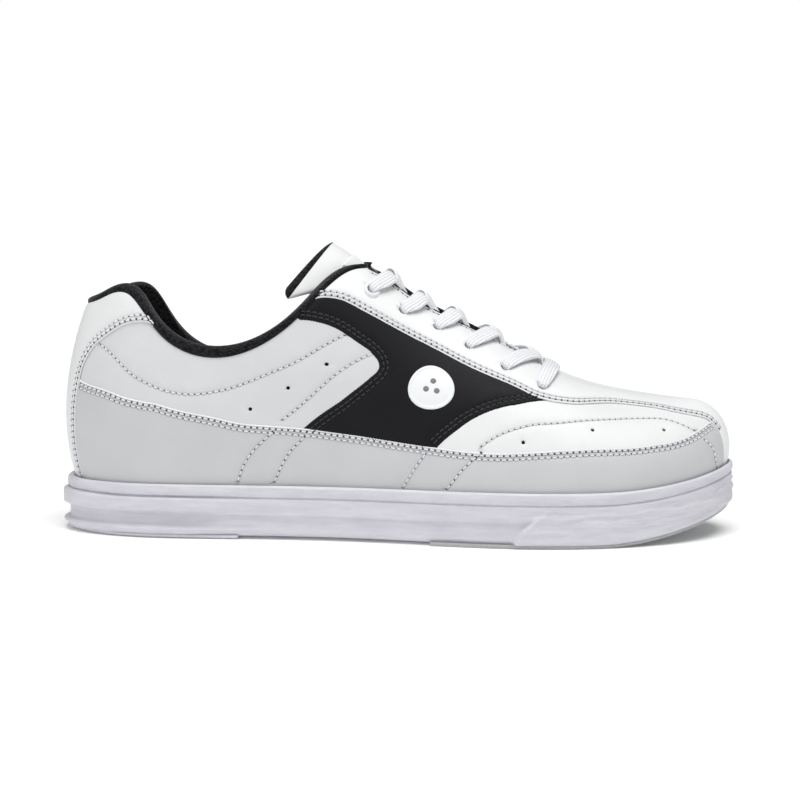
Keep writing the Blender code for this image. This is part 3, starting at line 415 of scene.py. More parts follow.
def panel(name, outline, depth, rows=(), perforations=(), look=None, thickness=1.0, drop=0.3,
          spacing=2.6):
    """A leather panel: rounded edges, stitched grooves, needle holes and punched holes."""
    spacing *= COARSE
    low, high = outline[:, 0].min(), outline[:, 0].max()
    edge3 = skin(*outline.T)
    edge_tree = tree_of(edge3)
    flat_edge = pattern(*outline.T)
    extra = []
    for d in EDGE_RINGS:
        for sign in (1, -1):
            ring = shifted(outline, sign * d)
            ring[:, 1] = np.clip(ring[:, 1], TUCK, 1)
            extra.append(ring)
    for r in rows:
        fine = smooth(r.holes, PITCH / 4 * COARSE)
        extra += [shifted(fine, d) for d in ROW_OFFSETS]
    t = np.arange(low, high, spacing / STEP_T)
    h = np.arange(TUCK, 1.0001, spacing / STEP_H)
    tt, hh = np.meshgrid(t, h, indexing="ij")
    hh = hh + (np.arange(len(t)) % 2)[:, None] * 0.5 * spacing / STEP_H
    body = np.stack([tt, np.clip(hh, TUCK, 1)], -1).reshape(-1, 2)
    turn = np.mod(body[:, 0], ROUND)
    closed_zone = (turn > CLOSED_FROM) & (turn < ROUND - CLOSED_FROM)
    body = body[(body[:, 1] < 0.975) | ~closed_zone]
    if low < TOE < high:
        ridge = np.arange(RIDGE_FROM, TOE, spacing / STEP_T)
        body = np.vstack([body, np.column_stack([ridge, np.ones(len(ridge))])])
    extra = np.vstack(extra)
    keep_from = tree_of(skin(*extra.T))
    body = body[inside_loop(pattern(*body.T), flat_edge)]
    body3 = skin(*body.T)
    body = body[(distances(body3, keep_from) > spacing * 0.55) & (distances(body3, edge_tree) > 1.2)]
    extra = extra[inside_loop(pattern(*extra.T), flat_edge)]
    extra = extra[distances(skin(*extra.T), edge_tree) > 0.17]
    pits = [np.column_stack([disc_places(*place, radius, count), np.full(count, sunk)])
            for place in perforations for radius, sunk, count in PIT_RINGS]
    pits = np.vstack(pits + [np.zeros((0, 3))])
    if len(pits):
        pit_tree = tree_of(skin(*pits[:, :2].T))
        body = body[distances(skin(*body.T), pit_tree) > PIT_REACH]
        extra = extra[distances(skin(*extra.T), pit_tree) > PIT_REACH]
    # thin out points that crowd each other
    places = np.vstack([outline, extra, body, pits[:, :2]])
    sinks = np.r_[np.zeros(len(outline) + len(extra) + len(body)), pits[:, 2]]
    flat = pattern(*places.T)
    cell = np.round(flat / 0.12).astype(int)
    _, first = np.unique(cell[len(outline):], axis=0, return_index=True)
    keep = np.r_[np.arange(len(outline)), np.sort(first) + len(outline)]
    places, sinks, flat = places[keep], sinks[keep], flat[keep]
    ring = [list(range(len(outline)))]
    verts, _, faces, origin, _, _ = delaunay_2d_cdt([Vector(p) for p in flat], [], ring, 1, 1e-5)
    source = np.array([o[0] if o else -1 for o in origin])
    good = source >= 0
    faces = [f for f in faces if all(good[i] for i in f)]
    places, sinks = places[source], sinks[source]
    points3 = skin(*places.T)
    d = distances(points3, edge_tree)
    roll = np.clip(1 - d / EDGE_ROLL, 0, 1)
    sink = EDGE_FALL * (1 - np.sqrt(np.maximum(1 - roll**2, 0))) + drop * (1 - ease(d, 0, 3.0))
    shade = np.zeros(len(places))
    if rows:
        lines = np.vstack([skin(*smooth(r.holes, 0.5).T) for r in rows])
        d_row = distances(points3, tree_of(lines))
        d_hole = distances(points3, tree_of(np.vstack([skin(*r.holes.T) for r in rows])))
        near_hole = np.exp(-(d_hole / 0.5) ** 2)
        sink += 0.24 * np.exp(-(d_row / 0.7) ** 2) + 0.26 * near_hole
        shade = np.maximum(shade, 0.3 * np.exp(-(d_row / 0.6) ** 2) + 0.4 * near_hole)
    sink += sinks
    shade = np.maximum(shade, np.clip(sinks * 1.3 - 0.1, 0, 1))
    top = depth(*places.T) if callable(depth) else depth
    made = make(name, points3 - facing(*places.T) * (top + sink)[:, None], faces, look=look,
                fix_normals=True)
    vote = sum(f.normal.dot(Vector(facing(*places[f.vertices[0]])))
               for f in made.data.polygons[:40])
    if vote < 0:
        made.data.flip_normals()
    attribute(made.data, "shade", shade)
    # painted highlight: on the rand, the rim attribute brightens the colour to near white along the cut
    # edge, standing in for light caught by the edge
    if look == RAND_WHITE_PAINTED_SHADE:
        attribute(made.data, "rim", np.clip(1.3 - d / 0.6, 0, 1))
    ALL_ROWS.extend((r, depth) for r in rows)
    ALL_PITS.extend((place, depth) for place in perforations)
    return shell(made, thickness)


def threads(name, rows, radius, look):
    """Every stitch of some rows as a short thread that dives into its needle holes."""
    share = np.array([0.14, 0.2, 0.34, 0.5, 0.66, 0.8, 0.86])
    lift = np.array([-0.42, -0.08, 0.08, 0.12, 0.08, -0.08, -0.42])
    thick = np.array([0.7, 0.95, 1.0, 1.0, 1.0, 0.95, 0.7]) * radius
    angle = np.arange(7) * 2 * math.pi / 7
    points, faces, start = [], [], 0
    for r, depth in rows:
        a, b = r.holes[:-1], r.holes[1:]
        place = a[:, None] + (b - a)[:, None] * share[None, :, None]
        out = facing(place[..., 0], place[..., 1])
        line = skin(place[..., 0], place[..., 1]) + out * (lift - depth - 0.1)[None, :, None]
        run = unit(line[:, -1] - line[:, 0])[:, None]
        side = unit(np.cross(out, run))
        ring = (np.cos(angle)[:, None] * side[:, :, None] + np.sin(angle)[:, None] * out[:, :, None])
        rings = line[:, :, None] + ring * thick[None, :, None, None]
        points.append(rings.reshape(-1, 3))
        tube = tube_faces(len(share), len(angle))
        for _ in a:
            faces += [tuple(i + start for i in f) for f in tube]
            start += len(share) * len(angle)
    return make(name, np.vstack(points), faces, look=look, fix_normals=True)


# ---------------------------------------------------------------- materials

def colour(value, alpha=1.0):
    """sRGB 0 to 255 to a linear colour."""
    c = np.asarray(value, float) / 255
    lin = np.where(c <= 0.04045, c / 12.92, ((c + 0.055) / 1.055) ** 2.4)
    return (*lin.tolist(), alpha)


class Look:
    """A material's nodes, built up in order."""

    def __init__(self, name, rgb, roughness, **inputs):
        self.material = bpy.data.materials.new(name)
        self.material.use_nodes = True
        self.tree = self.material.node_tree
        self.shader = self.tree.nodes["Principled BSDF"]
        self.shader.inputs["Roughness"].default_value = roughness
        self.shader.inputs["Base Color"].default_value = colour(rgb)
        for key, value in inputs.items():
            self.shader.inputs[key.replace("_", " ")].default_value = value
        self.place = self.node("ShaderNodeTexCoord").outputs["Object"]
        self.normal = None
        self.tint = None
        self.rgb = colour(rgb)

    def node(self, kind, **values):
        made = self.tree.nodes.new(kind)
        for key, value in values.items():
            if hasattr(made, key):
                setattr(made, key, value)
            else:
                made.inputs[key.replace("_", " ")].default_value = value
        return made

    def link(self, a, b):
        self.tree.links.new(a, b)
        return self

    def stretched(self, scale, turn=(0, 0, 0)):
        mapping = self.node("ShaderNodeMapping")
        mapping.inputs["Scale"].default_value = scale
        mapping.inputs["Rotation"].default_value = turn
        self.link(self.place, mapping.inputs["Vector"])
        return mapping.outputs["Vector"]

    def noise(self, scale, detail=4.0, rough=0.55, stretch=(1, 1, 1)):
        made = self.node("ShaderNodeTexNoise", Scale=scale, Detail=detail, Roughness=rough)
        self.link(self.stretched(stretch), made.inputs["Vector"])
        return made.outputs["Fac"]

    def cells(self, scale, stretch=(1, 1, 1)):
        made = self.node("ShaderNodeTexVoronoi", Scale=scale)
        self.link(self.stretched(stretch), made.inputs["Vector"])
        return made.outputs["Distance"]

    def ramp(self, value, low, high, to_low=0.0, to_high=1.0):
        made = self.node("ShaderNodeMapRange")
        for key, number in (("From Min", low), ("From Max", high), ("To Min", to_low),
                            ("To Max", to_high)):
            made.inputs[key].default_value = number
        self.link(value, made.inputs["Value"])
        return made.outputs["Result"]

    def attribute(self, name):
        return self.node("ShaderNodeAttribute", attribute_name=name).outputs["Fac"]

    def maths(self, operation, a, b=None):
        made = self.node("ShaderNodeMath", operation=operation)
        for k, value in enumerate((a, b)):
            if value is None:
                continue
            if isinstance(value, (int, float)):
                made.inputs[k].default_value = value
            else:
                self.link(value, made.inputs[k])
        return made.outputs[0]

    def bump(self, height, distance, strength=1.0):
        made = self.node("ShaderNodeBump", Distance=distance * MM, Strength=strength)
        self.link(height, made.inputs["Height"])
        if self.normal is not None:
            self.link(self.normal, made.inputs["Normal"])
        self.normal = made.outputs["Normal"]
        self.link(self.normal, self.shader.inputs["Normal"])
        return self

    def mix(self, factor, rgb):
        """Blends the colour so far towards rgb where factor is 1."""
        made = self.node("ShaderNodeMix", data_type="RGBA")
        self.link(factor, made.inputs[0])
        if self.tint is None:
            made.inputs[6].default_value = self.rgb
        else:
            self.link(self.tint, made.inputs[6])
        made.inputs[7].default_value = colour(rgb)
        self.tint = made.outputs[2]
        self.link(self.tint, self.shader.inputs["Base Color"])
        return self

    def rough(self, factor, low, high):
        self.link(self.ramp(factor, 0, 1, low, high), self.shader.inputs["Roughness"])
        return self


def leather(name, rgb, shadow, roughness, grain=0.035, shine=0.45):
    look = Look(name, rgb, roughness, Specular_IOR_Level=shine, Coat_Weight=0.13 * shine,
                Coat_Roughness=0.35)
    mottle = look.noise(55, 3.0)
    look.mix(look.ramp(mottle, 0.35, 0.75, 0.0, 0.35), shadow)
    # painted highlight: where the rim attribute is set, along the rand's cut edge, the colour goes to
    # near white
    look.mix(look.attribute("rim"), (250, 250, 251))
    look.mix(look.attribute("shade"), tuple(0.42 * c for c in rgb))
    look.rough(look.noise(420, 2.0), roughness - 0.06, roughness + 0.1)
    look.bump(look.noise(28, 3.0), 0.25, 0.35)
    look.bump(look.cells(1350), grain * 1.4, 0.55)
    look.bump(look.noise(2600, 3.0), grain, 0.5)
    return look.material


WHITE = leather("White leather", (240, 241, 241), (226, 228, 229), 0.46)
# The vamp, quarter and rand looks are copies of the white leather darkened as painted shade: a little on
# the vamp and heel tab, more on the quarter, most on the low rand.
VAMP_WHITE_PAINTED_SHADE = leather("Vamp leather with painted shade", (232, 233, 233), (220, 222, 223), 0.46)
QUARTER_WHITE_PAINTED_SHADE = leather("Quarter leather with painted shade", (216, 217, 218), (203, 205, 206), 0.48)
RAND_WHITE_PAINTED_SHADE = leather("Rand leather with painted shade", (201, 203, 204), (189, 191, 193), 0.46)
BLACK = leather("Black leather", (26, 26, 29), (20, 20, 23), 0.5, grain=0.045, shine=0.12)


def knit(name, rgb, light, scale=620):
    look = Look(name, rgb, 0.92, Specular_IOR_Level=0.15, Sheen_Weight=0.25, Sheen_Roughness=0.4)
    loops = look.cells(scale, (1.0, 1.0, 1.7))
    look.mix(look.ramp(loops, 0.25, 0.7, 0.6, 0.0), light)
    look.bump(loops, 0.5, 0.9)
    look.bump(look.noise(2500, 2.0), 0.08, 0.6)
    return look.material


BLACK_KNIT = knit("Black knitted lining", (14, 14, 16), (52, 52, 56))
WHITE_CLOTH = knit("White lining cloth", (205, 206, 207), (232, 233, 234), 900)


def plain(name, rgb, roughness, speck=None, grain=0.05, scale=1500, **inputs):
    look = Look(name, rgb, roughness, **inputs)
    if speck:
        look.mix(look.ramp(look.noise(scale * 0.4, 3.0), 0.4, 0.7, 0.0, 0.6), speck)
    look.bump(look.noise(scale, 3.0), grain, 0.6)
    return look.material


def woven(name, rgb, shadow):
    """The lace: a flat plait whose yarns run at a slant to both sides."""
    look = Look(name, rgb, 0.8, Specular_IOR_Level=0.2, Sheen_Weight=0.3)
    u, v = look.attribute("across_mm"), look.attribute("along_mm")
    slant = look.maths("ADD", look.maths("ABSOLUTE", u), v)
    yarn = look.maths("SINE", look.maths("MULTIPLY", slant, 2 * math.pi / 0.95))
    rib = look.maths("COSINE", look.maths("MULTIPLY", u, 2 * math.pi / 1.25))
    both = look.maths("ADD", look.maths("MULTIPLY", yarn, 0.3), look.maths("MULTIPLY", rib, 1.2))
    look.mix(look.ramp(both, -1.5, 0.1, 0.6, 0.0), shadow)
    look.bump(both, 0.13, 0.9)
    look.bump(look.noise(3500, 2.0), 0.04, 0.6)
    return look.material


LACE = woven("White woven lace", (250, 251, 253), (216, 219, 228))


def moulded():
    """White foam moulded with fine creases like leather."""
    look = Look("White moulded foam", (214, 213, 220), 0.5, Specular_IOR_Level=0.4)
    crease = look.noise(60, 6.0, 0.62, (1.0, 1.0, 5.0))
    # painted shade: the colour goes darker in the creases' low places, where shade falls
    look.mix(look.ramp(crease, 0.35, 0.62, 0.45, 0.0), (190, 189, 199))
    look.bump(crease, 1.1, 0.75)
    look.bump(look.noise(260, 5.0, 0.6, (1.0, 1.0, 3.0)), 0.25, 0.45)
    look.bump(look.noise(1800, 3.0), 0.04, 0.5)
    return look.material


FOAM_SOLE = moulded()
SLIDE = plain("Grey microfibre", (178, 180, 181), 0.95, (160, 162, 164), 0.12, 2200, Sheen_Weight=0.4)
HEEL_RUBBER = plain("White heel rubber", (213, 212, 219), 0.55, (200, 199, 208), 0.05, 900)
WHITE_THREAD = plain("White thread", (236, 238, 242), 0.7, None, 0.03, 5000, Sheen_Weight=0.3)
GREY_THREAD = plain("Light thread", (228, 229, 234), 0.7, None, 0.03, 5000, Sheen_Weight=0.3)
BLACK_THREAD = plain("Black thread", (20, 20, 23), 0.55, None, 0.03, 5000, Sheen_Weight=0.3)
HOLE_SHADE_GREY = plain("Painted shade in needle hole in white leather", (84, 80, 90), 0.8, None, 0.01, 800)
HOLE_SHADE_BLACK = plain("Painted shade in deep hole", (14, 14, 16), 0.8, None, 0.01, 800)
PLASTIC = plain("White plastic", (238, 239, 241), 0.3, None, 0.01, 800)
TIP = plain("Clear plastic tip", (222, 224, 227), 0.15, None, 0.005, 800, Coat_Weight=0.5)
BOARD = plain("Fibre board", (176, 160, 132), 0.85, (160, 144, 118), 0.1, 1200)
LABEL_WHITE = plain("White woven label", (240, 241, 242), 0.85, None, 0.05, 2500)
BADGE = plain("White badge", (238, 240, 241), 0.38, None, 0.02, 1500)
BADGE_INK = plain("Grey ink", (120, 122, 126), 0.5, None, 0.01, 1500)

# ---------------------------------------------------------------- leather panels

FINE = 1.3 * COARSE
OVERLAY, SADDLE_DEPTH, BASE = 0.0, 0.5, 1.1
BUTT, LAP = 0.25, 0.8
UNDERLAY = 6.0
HEEL_END, TOE_END = (0, 4), (12.5, TOE)
RAND_TOP = np.vstack([seam(RAND_SEAM[:1], HEEL_END), seam(RAND_SEAM[1:-1]),
                      seam(RAND_SEAM[-1:], TOE_END)])
EYESTAY_LOW = seam(EYESTAY_SEAM, TOE_END)
REAR_SADDLE, FRONT_SADDLE = seam(SADDLE_REAR), seam(SADDLE_FRONT)
TAB = seam(TAB_SEAM, HEEL_END)
COLLAR_END = 7.38
THROAT = np.vstack([[COLLAR_END, EDGE], seam(THROAT_EDGE)])


def to_foot(curve):
    (t0, h0), (t1, h1) = curve[-2:]
    reach = (TUCK - h1) / (h1 - h0)
    return np.vstack([curve, [t1 + (t1 - t0) * reach, TUCK]])


def joined(*curves):
    points = np.vstack(curves)
    place = skin(*points.T)
    keep = np.linalg.norm(place - np.roll(place, 1, 0), axis=1) > 0.25
    return points[keep]


def rib(t, low, high):
    return smooth([(t, low), (t, (low + high) / 2), (t, high)], FINE)


def level(h, start, end):
    steps = np.linspace(start, end, 2 + int(abs(end - start) * 4))
    return smooth(np.column_stack([steps, np.full(len(steps), h)]), FINE)


TAB_SIDE, EYESTAY_SIDE = smooth(to_foot(TAB), FINE), smooth(to_foot(EYESTAY_LOW), FINE)
TAB_SIDE[0, 1] = EYESTAY_SIDE[0, 1] = EDGE


def below(curve, h):
    return curve[np.flatnonzero(curve[:, 1] > h)[-1]:]


def backstay_outline():
    side = TAB_SIDE
    top, foot = level(EDGE, -side[0, 0], side[0, 0]), level(TUCK, side[-1, 0], -side[-1, 0])
    return joined(top, side, foot, mirrored(side))


def rand_outline():
    top = smooth(RAND_TOP, FINE)
    rear = shifted(below(TAB_SIDE, top[0, 1]), BUTT)
    front = shifted(below(EYESTAY_SIDE, top[-1, 1]), -BUTT)
    rear[-1, 1] = front[-1, 1] = TUCK
    top[0], top[-1] = rear[0], front[0]
    return joined(top, front, level(TUCK, front[-1, 0], rear[-1, 0]), rear[::-1])


def quarter_outline():
    front = shifted(smooth(to_foot(REAR_SADDLE), FINE), UNDERLAY)
    front[0, 1], front[-1, 1] = EDGE, TUCK
    return joined(rib(0.02, TUCK, EDGE), level(EDGE, 0.02, front[0, 0]), front,
                  level(TUCK, front[-1, 0], 0.02))


def saddle_outline():
    rear = shifted(smooth(to_foot(REAR_SADDLE), FINE), -LAP)
    rear[0, 1], rear[-1, 1] = EDGE, TUCK
    front = shifted(smooth(to_foot(FRONT_SADDLE[::-1]), FINE), LAP)
    front[-1, 1] = TUCK
    hidden = smooth(shifted(EYESTAY_LOW[:7], 5.0), FINE)
    hidden[0] = (6.72, EDGE)
    return joined(level(EDGE, rear[0, 0], hidden[0, 0]), hidden, front,
                  level(TUCK, front[-1, 0], rear[-1, 0]), rear[::-1])


def vamp_outline():
    rear = shifted(smooth(to_foot(FRONT_SADDLE[::-1]), FINE), -UNDERLAY * 0.7)[::-1]
    rear[0, 1] = TUCK
    hidden = smooth(shifted(EYESTAY_LOW[6:12], 5.0), FINE)
    end = TOE - 0.06
    return joined(rear, hidden, rib(end, hidden[-1, 1], TUCK), level(TUCK, end, rear[0, 0]))


def throat_outline():
    outer = smooth(THROAT, FINE)
    outer[0, 1] = EDGE
    return outer, [(11.25, 1.0)], np.stack([ROUND - outer[:, 0], outer[:, 1]], -1)


def eyestay_outline():
    low = EYESTAY_SIDE
    outer, base, inner = throat_outline()
    foot = level(TUCK, low[-1, 0], ROUND - low[-1, 0])
    return joined(level(EDGE, outer[0, 0], low[0, 0])[1:-1], low, foot, across_front(low),
                  level(EDGE, ROUND - low[0, 0], ROUND - outer[0, 0])[1:-1], inner, base, outer[::-1])


def trimmed(curve, start, end):
    """A curve without its first and last few mm."""
    fine = smooth(curve, 1.0)
    return fine[int(start):len(fine) - int(end)]


def xz(points):
    return seam([(x, None, z) for x, z in points])


def leather_panels():
    tab_rows = [row(trimmed(TAB_SIDE, 1, 4), "white", -d) for d in (1.4, 3.1)]
    tab_rows += [row(trimmed(mirrored(TAB_SIDE), 4, 1), "white", -d) for d in (1.4, 3.1)]
    panel("backstay_leather", backstay_outline(), OVERLAY, tab_rows, look=VAMP_WHITE_PAINTED_SHADE)
    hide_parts("backstay")

    for side, flip in (("lateral", False), ("medial", True)):
        turn = mirrored if flip else np.asarray
        rows = [row(turn(trimmed(RAND_TOP, 2, 2)), "grey", -d) for d in (1.3, 3.0)]
        rows += [row(turn(xz(p)), "grey") for p in RAND_ROWS]
        made = panel("rand_" + side + "_leather", turn(rand_outline()), OVERLAY, rows, look=RAND_WHITE_PAINTED_SHADE)
        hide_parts("rand_" + side)

        rows = [row(turn(xz(p)), "grey") for p in QUARTER_ROWS]
        made = panel("quarter_" + side + "_leather", turn(quarter_outline()), BASE, rows,
                     turn(xz(QUARTER_HOLES)), look=QUARTER_WHITE_PAINTED_SHADE)
        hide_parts("quarter_" + side)

        rear = trimmed(REAR_SADDLE, 1, 34)
        front = trimmed(FRONT_SADDLE, 26, 2)
        rows = [row(turn(rear), "black", d) for d in (1.4, 3.2)]
        rows += [row(turn(front), "black", d) for d in (1.4, 3.2)]
        made = panel("saddle_" + side + "_leather", turn(saddle_outline()), SADDLE_DEPTH, rows,
                     look=BLACK, thickness=0.6)
        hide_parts("saddle_" + side)

        made = panel("vamp_side_" + side + "_leather", turn(vamp_outline()), BASE,
                     [row(turn(xz(VAMP_ROW)), "grey")], turn(xz(VAMP_HOLES)), look=VAMP_WHITE_PAINTED_SHADE)
        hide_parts("vamp_side_" + side)

    low = EYESTAY_LOW[:-1]
    rows = []
    for d in (1.4, 3.1):
        near = shifted(trimmed(low, 2, 2), d)
        rows += [row(near, "grey"), row(across_front(near), "grey")]
    edge = trimmed(THROAT, 3, 3)
    near = shifted(edge, -2.0)
    rows += [row(near, "grey"), row(across_front(near), "grey")]
    made = panel("eyestay_vamp_leather", eyestay_outline(), OVERLAY, rows, look=WHITE, thickness=0.9)
    holes_through(made)
    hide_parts("eyestay_vamp")


def eyelet_places(side):
    places = [locate((x, None, z)) for x, z in EYELETS]
    return places if side > 0 else [np.array([ROUND - t, h]) for t, h in places]


def quaternion_at(t, h):
    return Vector(facing(np.float64(t), np.float64(h))).to_track_quat("Z", "Y")


CUTTERS = bpy.data.collections.new("cutters")
bpy.context.scene.collection.children.link(CUTTERS)
HOLE_RADIUS = 2.1


def holes_through(target):
    """The lace holes, cut with one cutter object."""
    work = bmesh.new()
    for side in (1, -1):
        for t, h in eyelet_places(side):
            ring = bmesh.ops.create_cone(work, cap_ends=True, segments=28, radius1=HOLE_RADIUS * MM,
                                         radius2=HOLE_RADIUS * MM, depth=9 * MM)
            matrix = quaternion_at(t, h).to_matrix().to_4x4()
            matrix.translation = Vector(skin(t, h) * MM)
            bmesh.ops.transform(work, matrix=matrix, verts=ring["verts"])
    mesh = bpy.data.meshes.new("lace_hole_cutter")
    work.to_mesh(mesh)
    work.free()
    cutter = bpy.data.objects.new("lace_hole_cutter", mesh)
    CUTTERS.objects.link(cutter)
    cut = target.modifiers.new("Lace holes", "BOOLEAN")
    cut.operation, cut.object, cut.solver = "DIFFERENCE", cutter, "EXACT"
    bpy.context.view_layer.update()
    graph = bpy.context.evaluated_depsgraph_get()
    final = bpy.data.meshes.new_from_object(target.evaluated_get(graph))
    target.modifiers.clear()
    target.data = final
    bpy.data.objects.remove(cutter)


# ---------------------------------------------------------------- badge and thread

def domed_disc(name, t, h, profile, look, count=72):
    """A round badge; profile lists (radius, height above the skin) from its edge inwards."""
    rings = [under(*disc_places(t, h, r, count).T, np.full(count, -z)) for r, z in profile]
    return make(name, np.vstack(rings), tube_faces(len(rings), count), look=look, fix_normals=True)


DOT_RING = 2.7                 # how far the badge's three dots lie from its middle
LENS_SIDES = 10


def badge():
    t, h = locate(EMBLEM)
    z = -SADDLE_DEPTH
    profile = [(9.8, z - 0.3), (10.0, z + 0.1), (9.9, z + 0.3), (9.5, z + 0.42), (8.9, z + 0.45),
               (8.5, z + 0.3), (8.2, z + 0.3), (7.8, z + 0.45), (3.0, z + 0.47), (0.5, z + 0.47)]
    made = domed_disc("emblem_badge", t, h, profile, BADGE)
    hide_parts("emblem_lateral")
    dot = [(1.25, z + 0.3), (1.25, z + 0.52), (1.1, z + 0.58), (0.3, z + 0.6)]
    for k, place in enumerate(disc_places(t, h, DOT_RING, 3, math.pi / 2)):
        domed_disc(f"emblem_dot_{k}", *place, dot, BADGE_INK, 32)


def dots(name, places, radius, sunk, look):
    """A small dark lens at the bottom of every needle hole or punched hole, painted as the shade inside
    the hole.
    """
    turn = np.arange(LENS_SIDES) * 2 * math.pi / LENS_SIDES
    points, faces = [], []
    for k, ((t, h), depth) in enumerate(places):
        basis, side, rise = tangents(t, h)
        middle, out = skin(np.float64(t), np.float64(h)), facing(np.float64(t), np.float64(h))
        middle = middle - out * (depth + sunk)
        ring = middle + radius * (np.cos(turn)[:, None] * side + np.sin(turn)[:, None] * rise)
        points += [ring, [middle - out * 0.4]]
        start = (LENS_SIDES + 1) * k
        faces.append(tuple(range(start, start + LENS_SIDES)))
        faces += [(start + (i + 1) % LENS_SIDES, start + i, start + LENS_SIDES)
                  for i in range(LENS_SIDES)]
    return make(name, np.vstack(points), faces, look=look, fix_normals=True)


def all_threads():
    looks = {"white": WHITE_THREAD, "grey": GREY_THREAD, "black": BLACK_THREAD}
    for thread, look in looks.items():
        rows = [(r, depth) for r, depth in ALL_ROWS if r.thread == thread]
        threads("stitches_" + thread, rows, 0.32, look)
        holes = [(place, depth) for r, depth in rows for place in r.holes]
        # painted shade: a dark lens in each needle hole of the stitching
        if thread == "black":
            dots("needle_hole_shade_black", holes, 0.4, 0.36, HOLE_SHADE_BLACK)
        else:
            dots("needle_hole_shade_" + thread, holes, 0.55, 0.33, HOLE_SHADE_GREY)
    # painted shade: a black lens in each punched hole, where only shade falls
    dots("perforations", ALL_PITS, 0.66, 0.9, HOLE_SHADE_BLACK)


# ---------------------------------------------------------------- collar and lining

def band_height(t):
    return np.interp(np.abs(t), (0, 3, 4, 5, 6, 6.5, 7, 7.4),
                     (1.7, 2.6, 3.3, 3.1, 2.2, 1.4, 0.8, 0.5))


def pad_depth(t):
    return np.interp(np.abs(t), (0, 5, 6, 6.8, 7.4), (8.5, 8.5, 7.5, 4.8, 2.6))


def lining_face(t, h):
    low = STIFFENER + LINING_PLY + PLY_STEP * (1 - ease(np.abs(t), 3.8, 4.8))
    return low + (pad_depth(t) - low) * ease(h, 0.45, 0.85)


def above_edge(t, inward, up):
    s = station(t)
    plan = s[..., TOP_X:TOP_Z] - plan_normal(t, TOP_X) * np.asarray(inward)[..., None]
    return np.column_stack([plan, s[..., TOP_Z] + up])


def collar():
    t = np.linspace(-COLLAR_END, COLLAR_END, int(420 / COARSE))
    deep, tall = pad_depth(t), band_height(t)
    fade = 1 - ease(np.abs(t), 6.9, COLLAR_END)
    rows = [above_edge(t, 0.35 * deep, -3.0 * np.ones(t.shape)),
            above_edge(t, 0.6 + 0 * t, -1.6 * np.ones(t.shape)),
            above_edge(t, 0.1 + 0 * t, 0.02 * tall)]
    for inward, up in ((0.0, 0.32), (0.05, 0.62), (0.18, 0.88), (0.38, 1.0), (0.6, 0.98),
                       (0.82, 0.8), (0.95, 0.5), (1.0, 0.12)):
        rows.append(above_edge(t, inward * deep + 0.15 * fade, up * tall))
    for h in (0.95, 0.88, 0.75, 0.6, 0.45, 0.2, TUCK):
        rows.append(under(t, np.full(t.shape, h), lining_face(t, np.full(t.shape, h))))
    rows = np.array(rows)
    dense = catmull(rows.reshape(len(rows), -1), 6).reshape(-1, len(t), 3)
    made = make("collar_knit", np.vstack(dense), grid_faces(len(dense), len(t), False),
                look=BLACK_KNIT, fix_normals=True)
    shell(made, 0.7)
    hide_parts("collar_lining", "collar_foam")


def front_lining_depth(t, h):
    toe = ease(TOE - np.abs(t - TOE), 11.2, 12.0)
    return STIFFENER + 0.2 + PLY_STEP * toe


def front_lining():
    """The cloth inside the front, and the black facing that shows along the throat's edge."""
    outer, base, inner = throat_outline()
    start, rear = outer[0, 0], 7.0
    far = ROUND - rear
    outline = joined(level(EDGE, start, rear)[1:-1], rib(rear, EDGE, TUCK), level(TUCK, rear, far),
                     rib(far, TUCK, EDGE), level(EDGE, far, ROUND - start)[1:-1],
                     inner, base, outer[::-1])
    made = panel("front_lining", outline, front_lining_depth, look=WHITE_CLOTH, thickness=0.7,
                 drop=0.0, spacing=3.4)
    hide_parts("vamp_lining")
    for side in (1, -1):
        line = shifted(smooth(THROAT, 1.0)[3:62], 0.2)
        line[:, 1] = np.minimum(line[:, 1], 0.998)
        if side < 0:
            line = np.stack([ROUND - line[:, 0], line[:, 1]], -1)
        path = under(*line.T, np.full(len(line), 1.15))
        name = "throat_facing_" + ("lateral" if side > 0 else "medial")
        round_tube(name, path, 0.9 * ease(np.arange(len(path)), -1, 6) + 0.02, BLACK_KNIT)


def round_tube(name, path, radius, look):
    run = unit(np.gradient(path, axis=0))
    side = unit(np.cross(run, np.array([0.0, 0.0, 1.0])))
    up = np.cross(side, run)
    sides = 14
    angle = np.arange(sides) * 2 * math.pi / sides
    radius = np.broadcast_to(radius, (len(path),))
    rings = path[:, None] + radius[:, None, None] * (np.cos(angle)[None, :, None] * side[:, None]
                                                     + np.sin(angle)[None, :, None] * up[:, None])
    return make(name, rings.reshape(-1, 3), tube_faces(len(path), sides), look=look,
                fix_normals=True)


# ---------------------------------------------------------------- tongue

TONGUE_LINE = [(82, 59.5), (70, 63.3), (50, 73.8), (30, 84.8), (12, 95.6), (0, 103), (-9, 110.6),
               (-18, 120), (-28.5, 128)]
TONGUE_DROP = (0.012, 0.012, 0.016, 0.025, 0.034, 0.041, 0.050, 0.052, 0.056)
TONGUE_WIDE = (19, 21, 23, 23.5, 21.5, 17.7, 16.0, 17.6, 23.0)
TONGUE_FINE = catmull(np.column_stack([TONGUE_LINE, TONGUE_DROP, TONGUE_WIDE]), 12)
TONGUE_TOP = len(TONGUE_LINE) - 1
TONGUE_STEPS = np.linspace(0, TONGUE_TOP, len(TONGUE_FINE))
TONGUE_PUFF = (5.2, 6.4)       # where its padding swells, up its centre line
KNIT_WIDE = 0.985


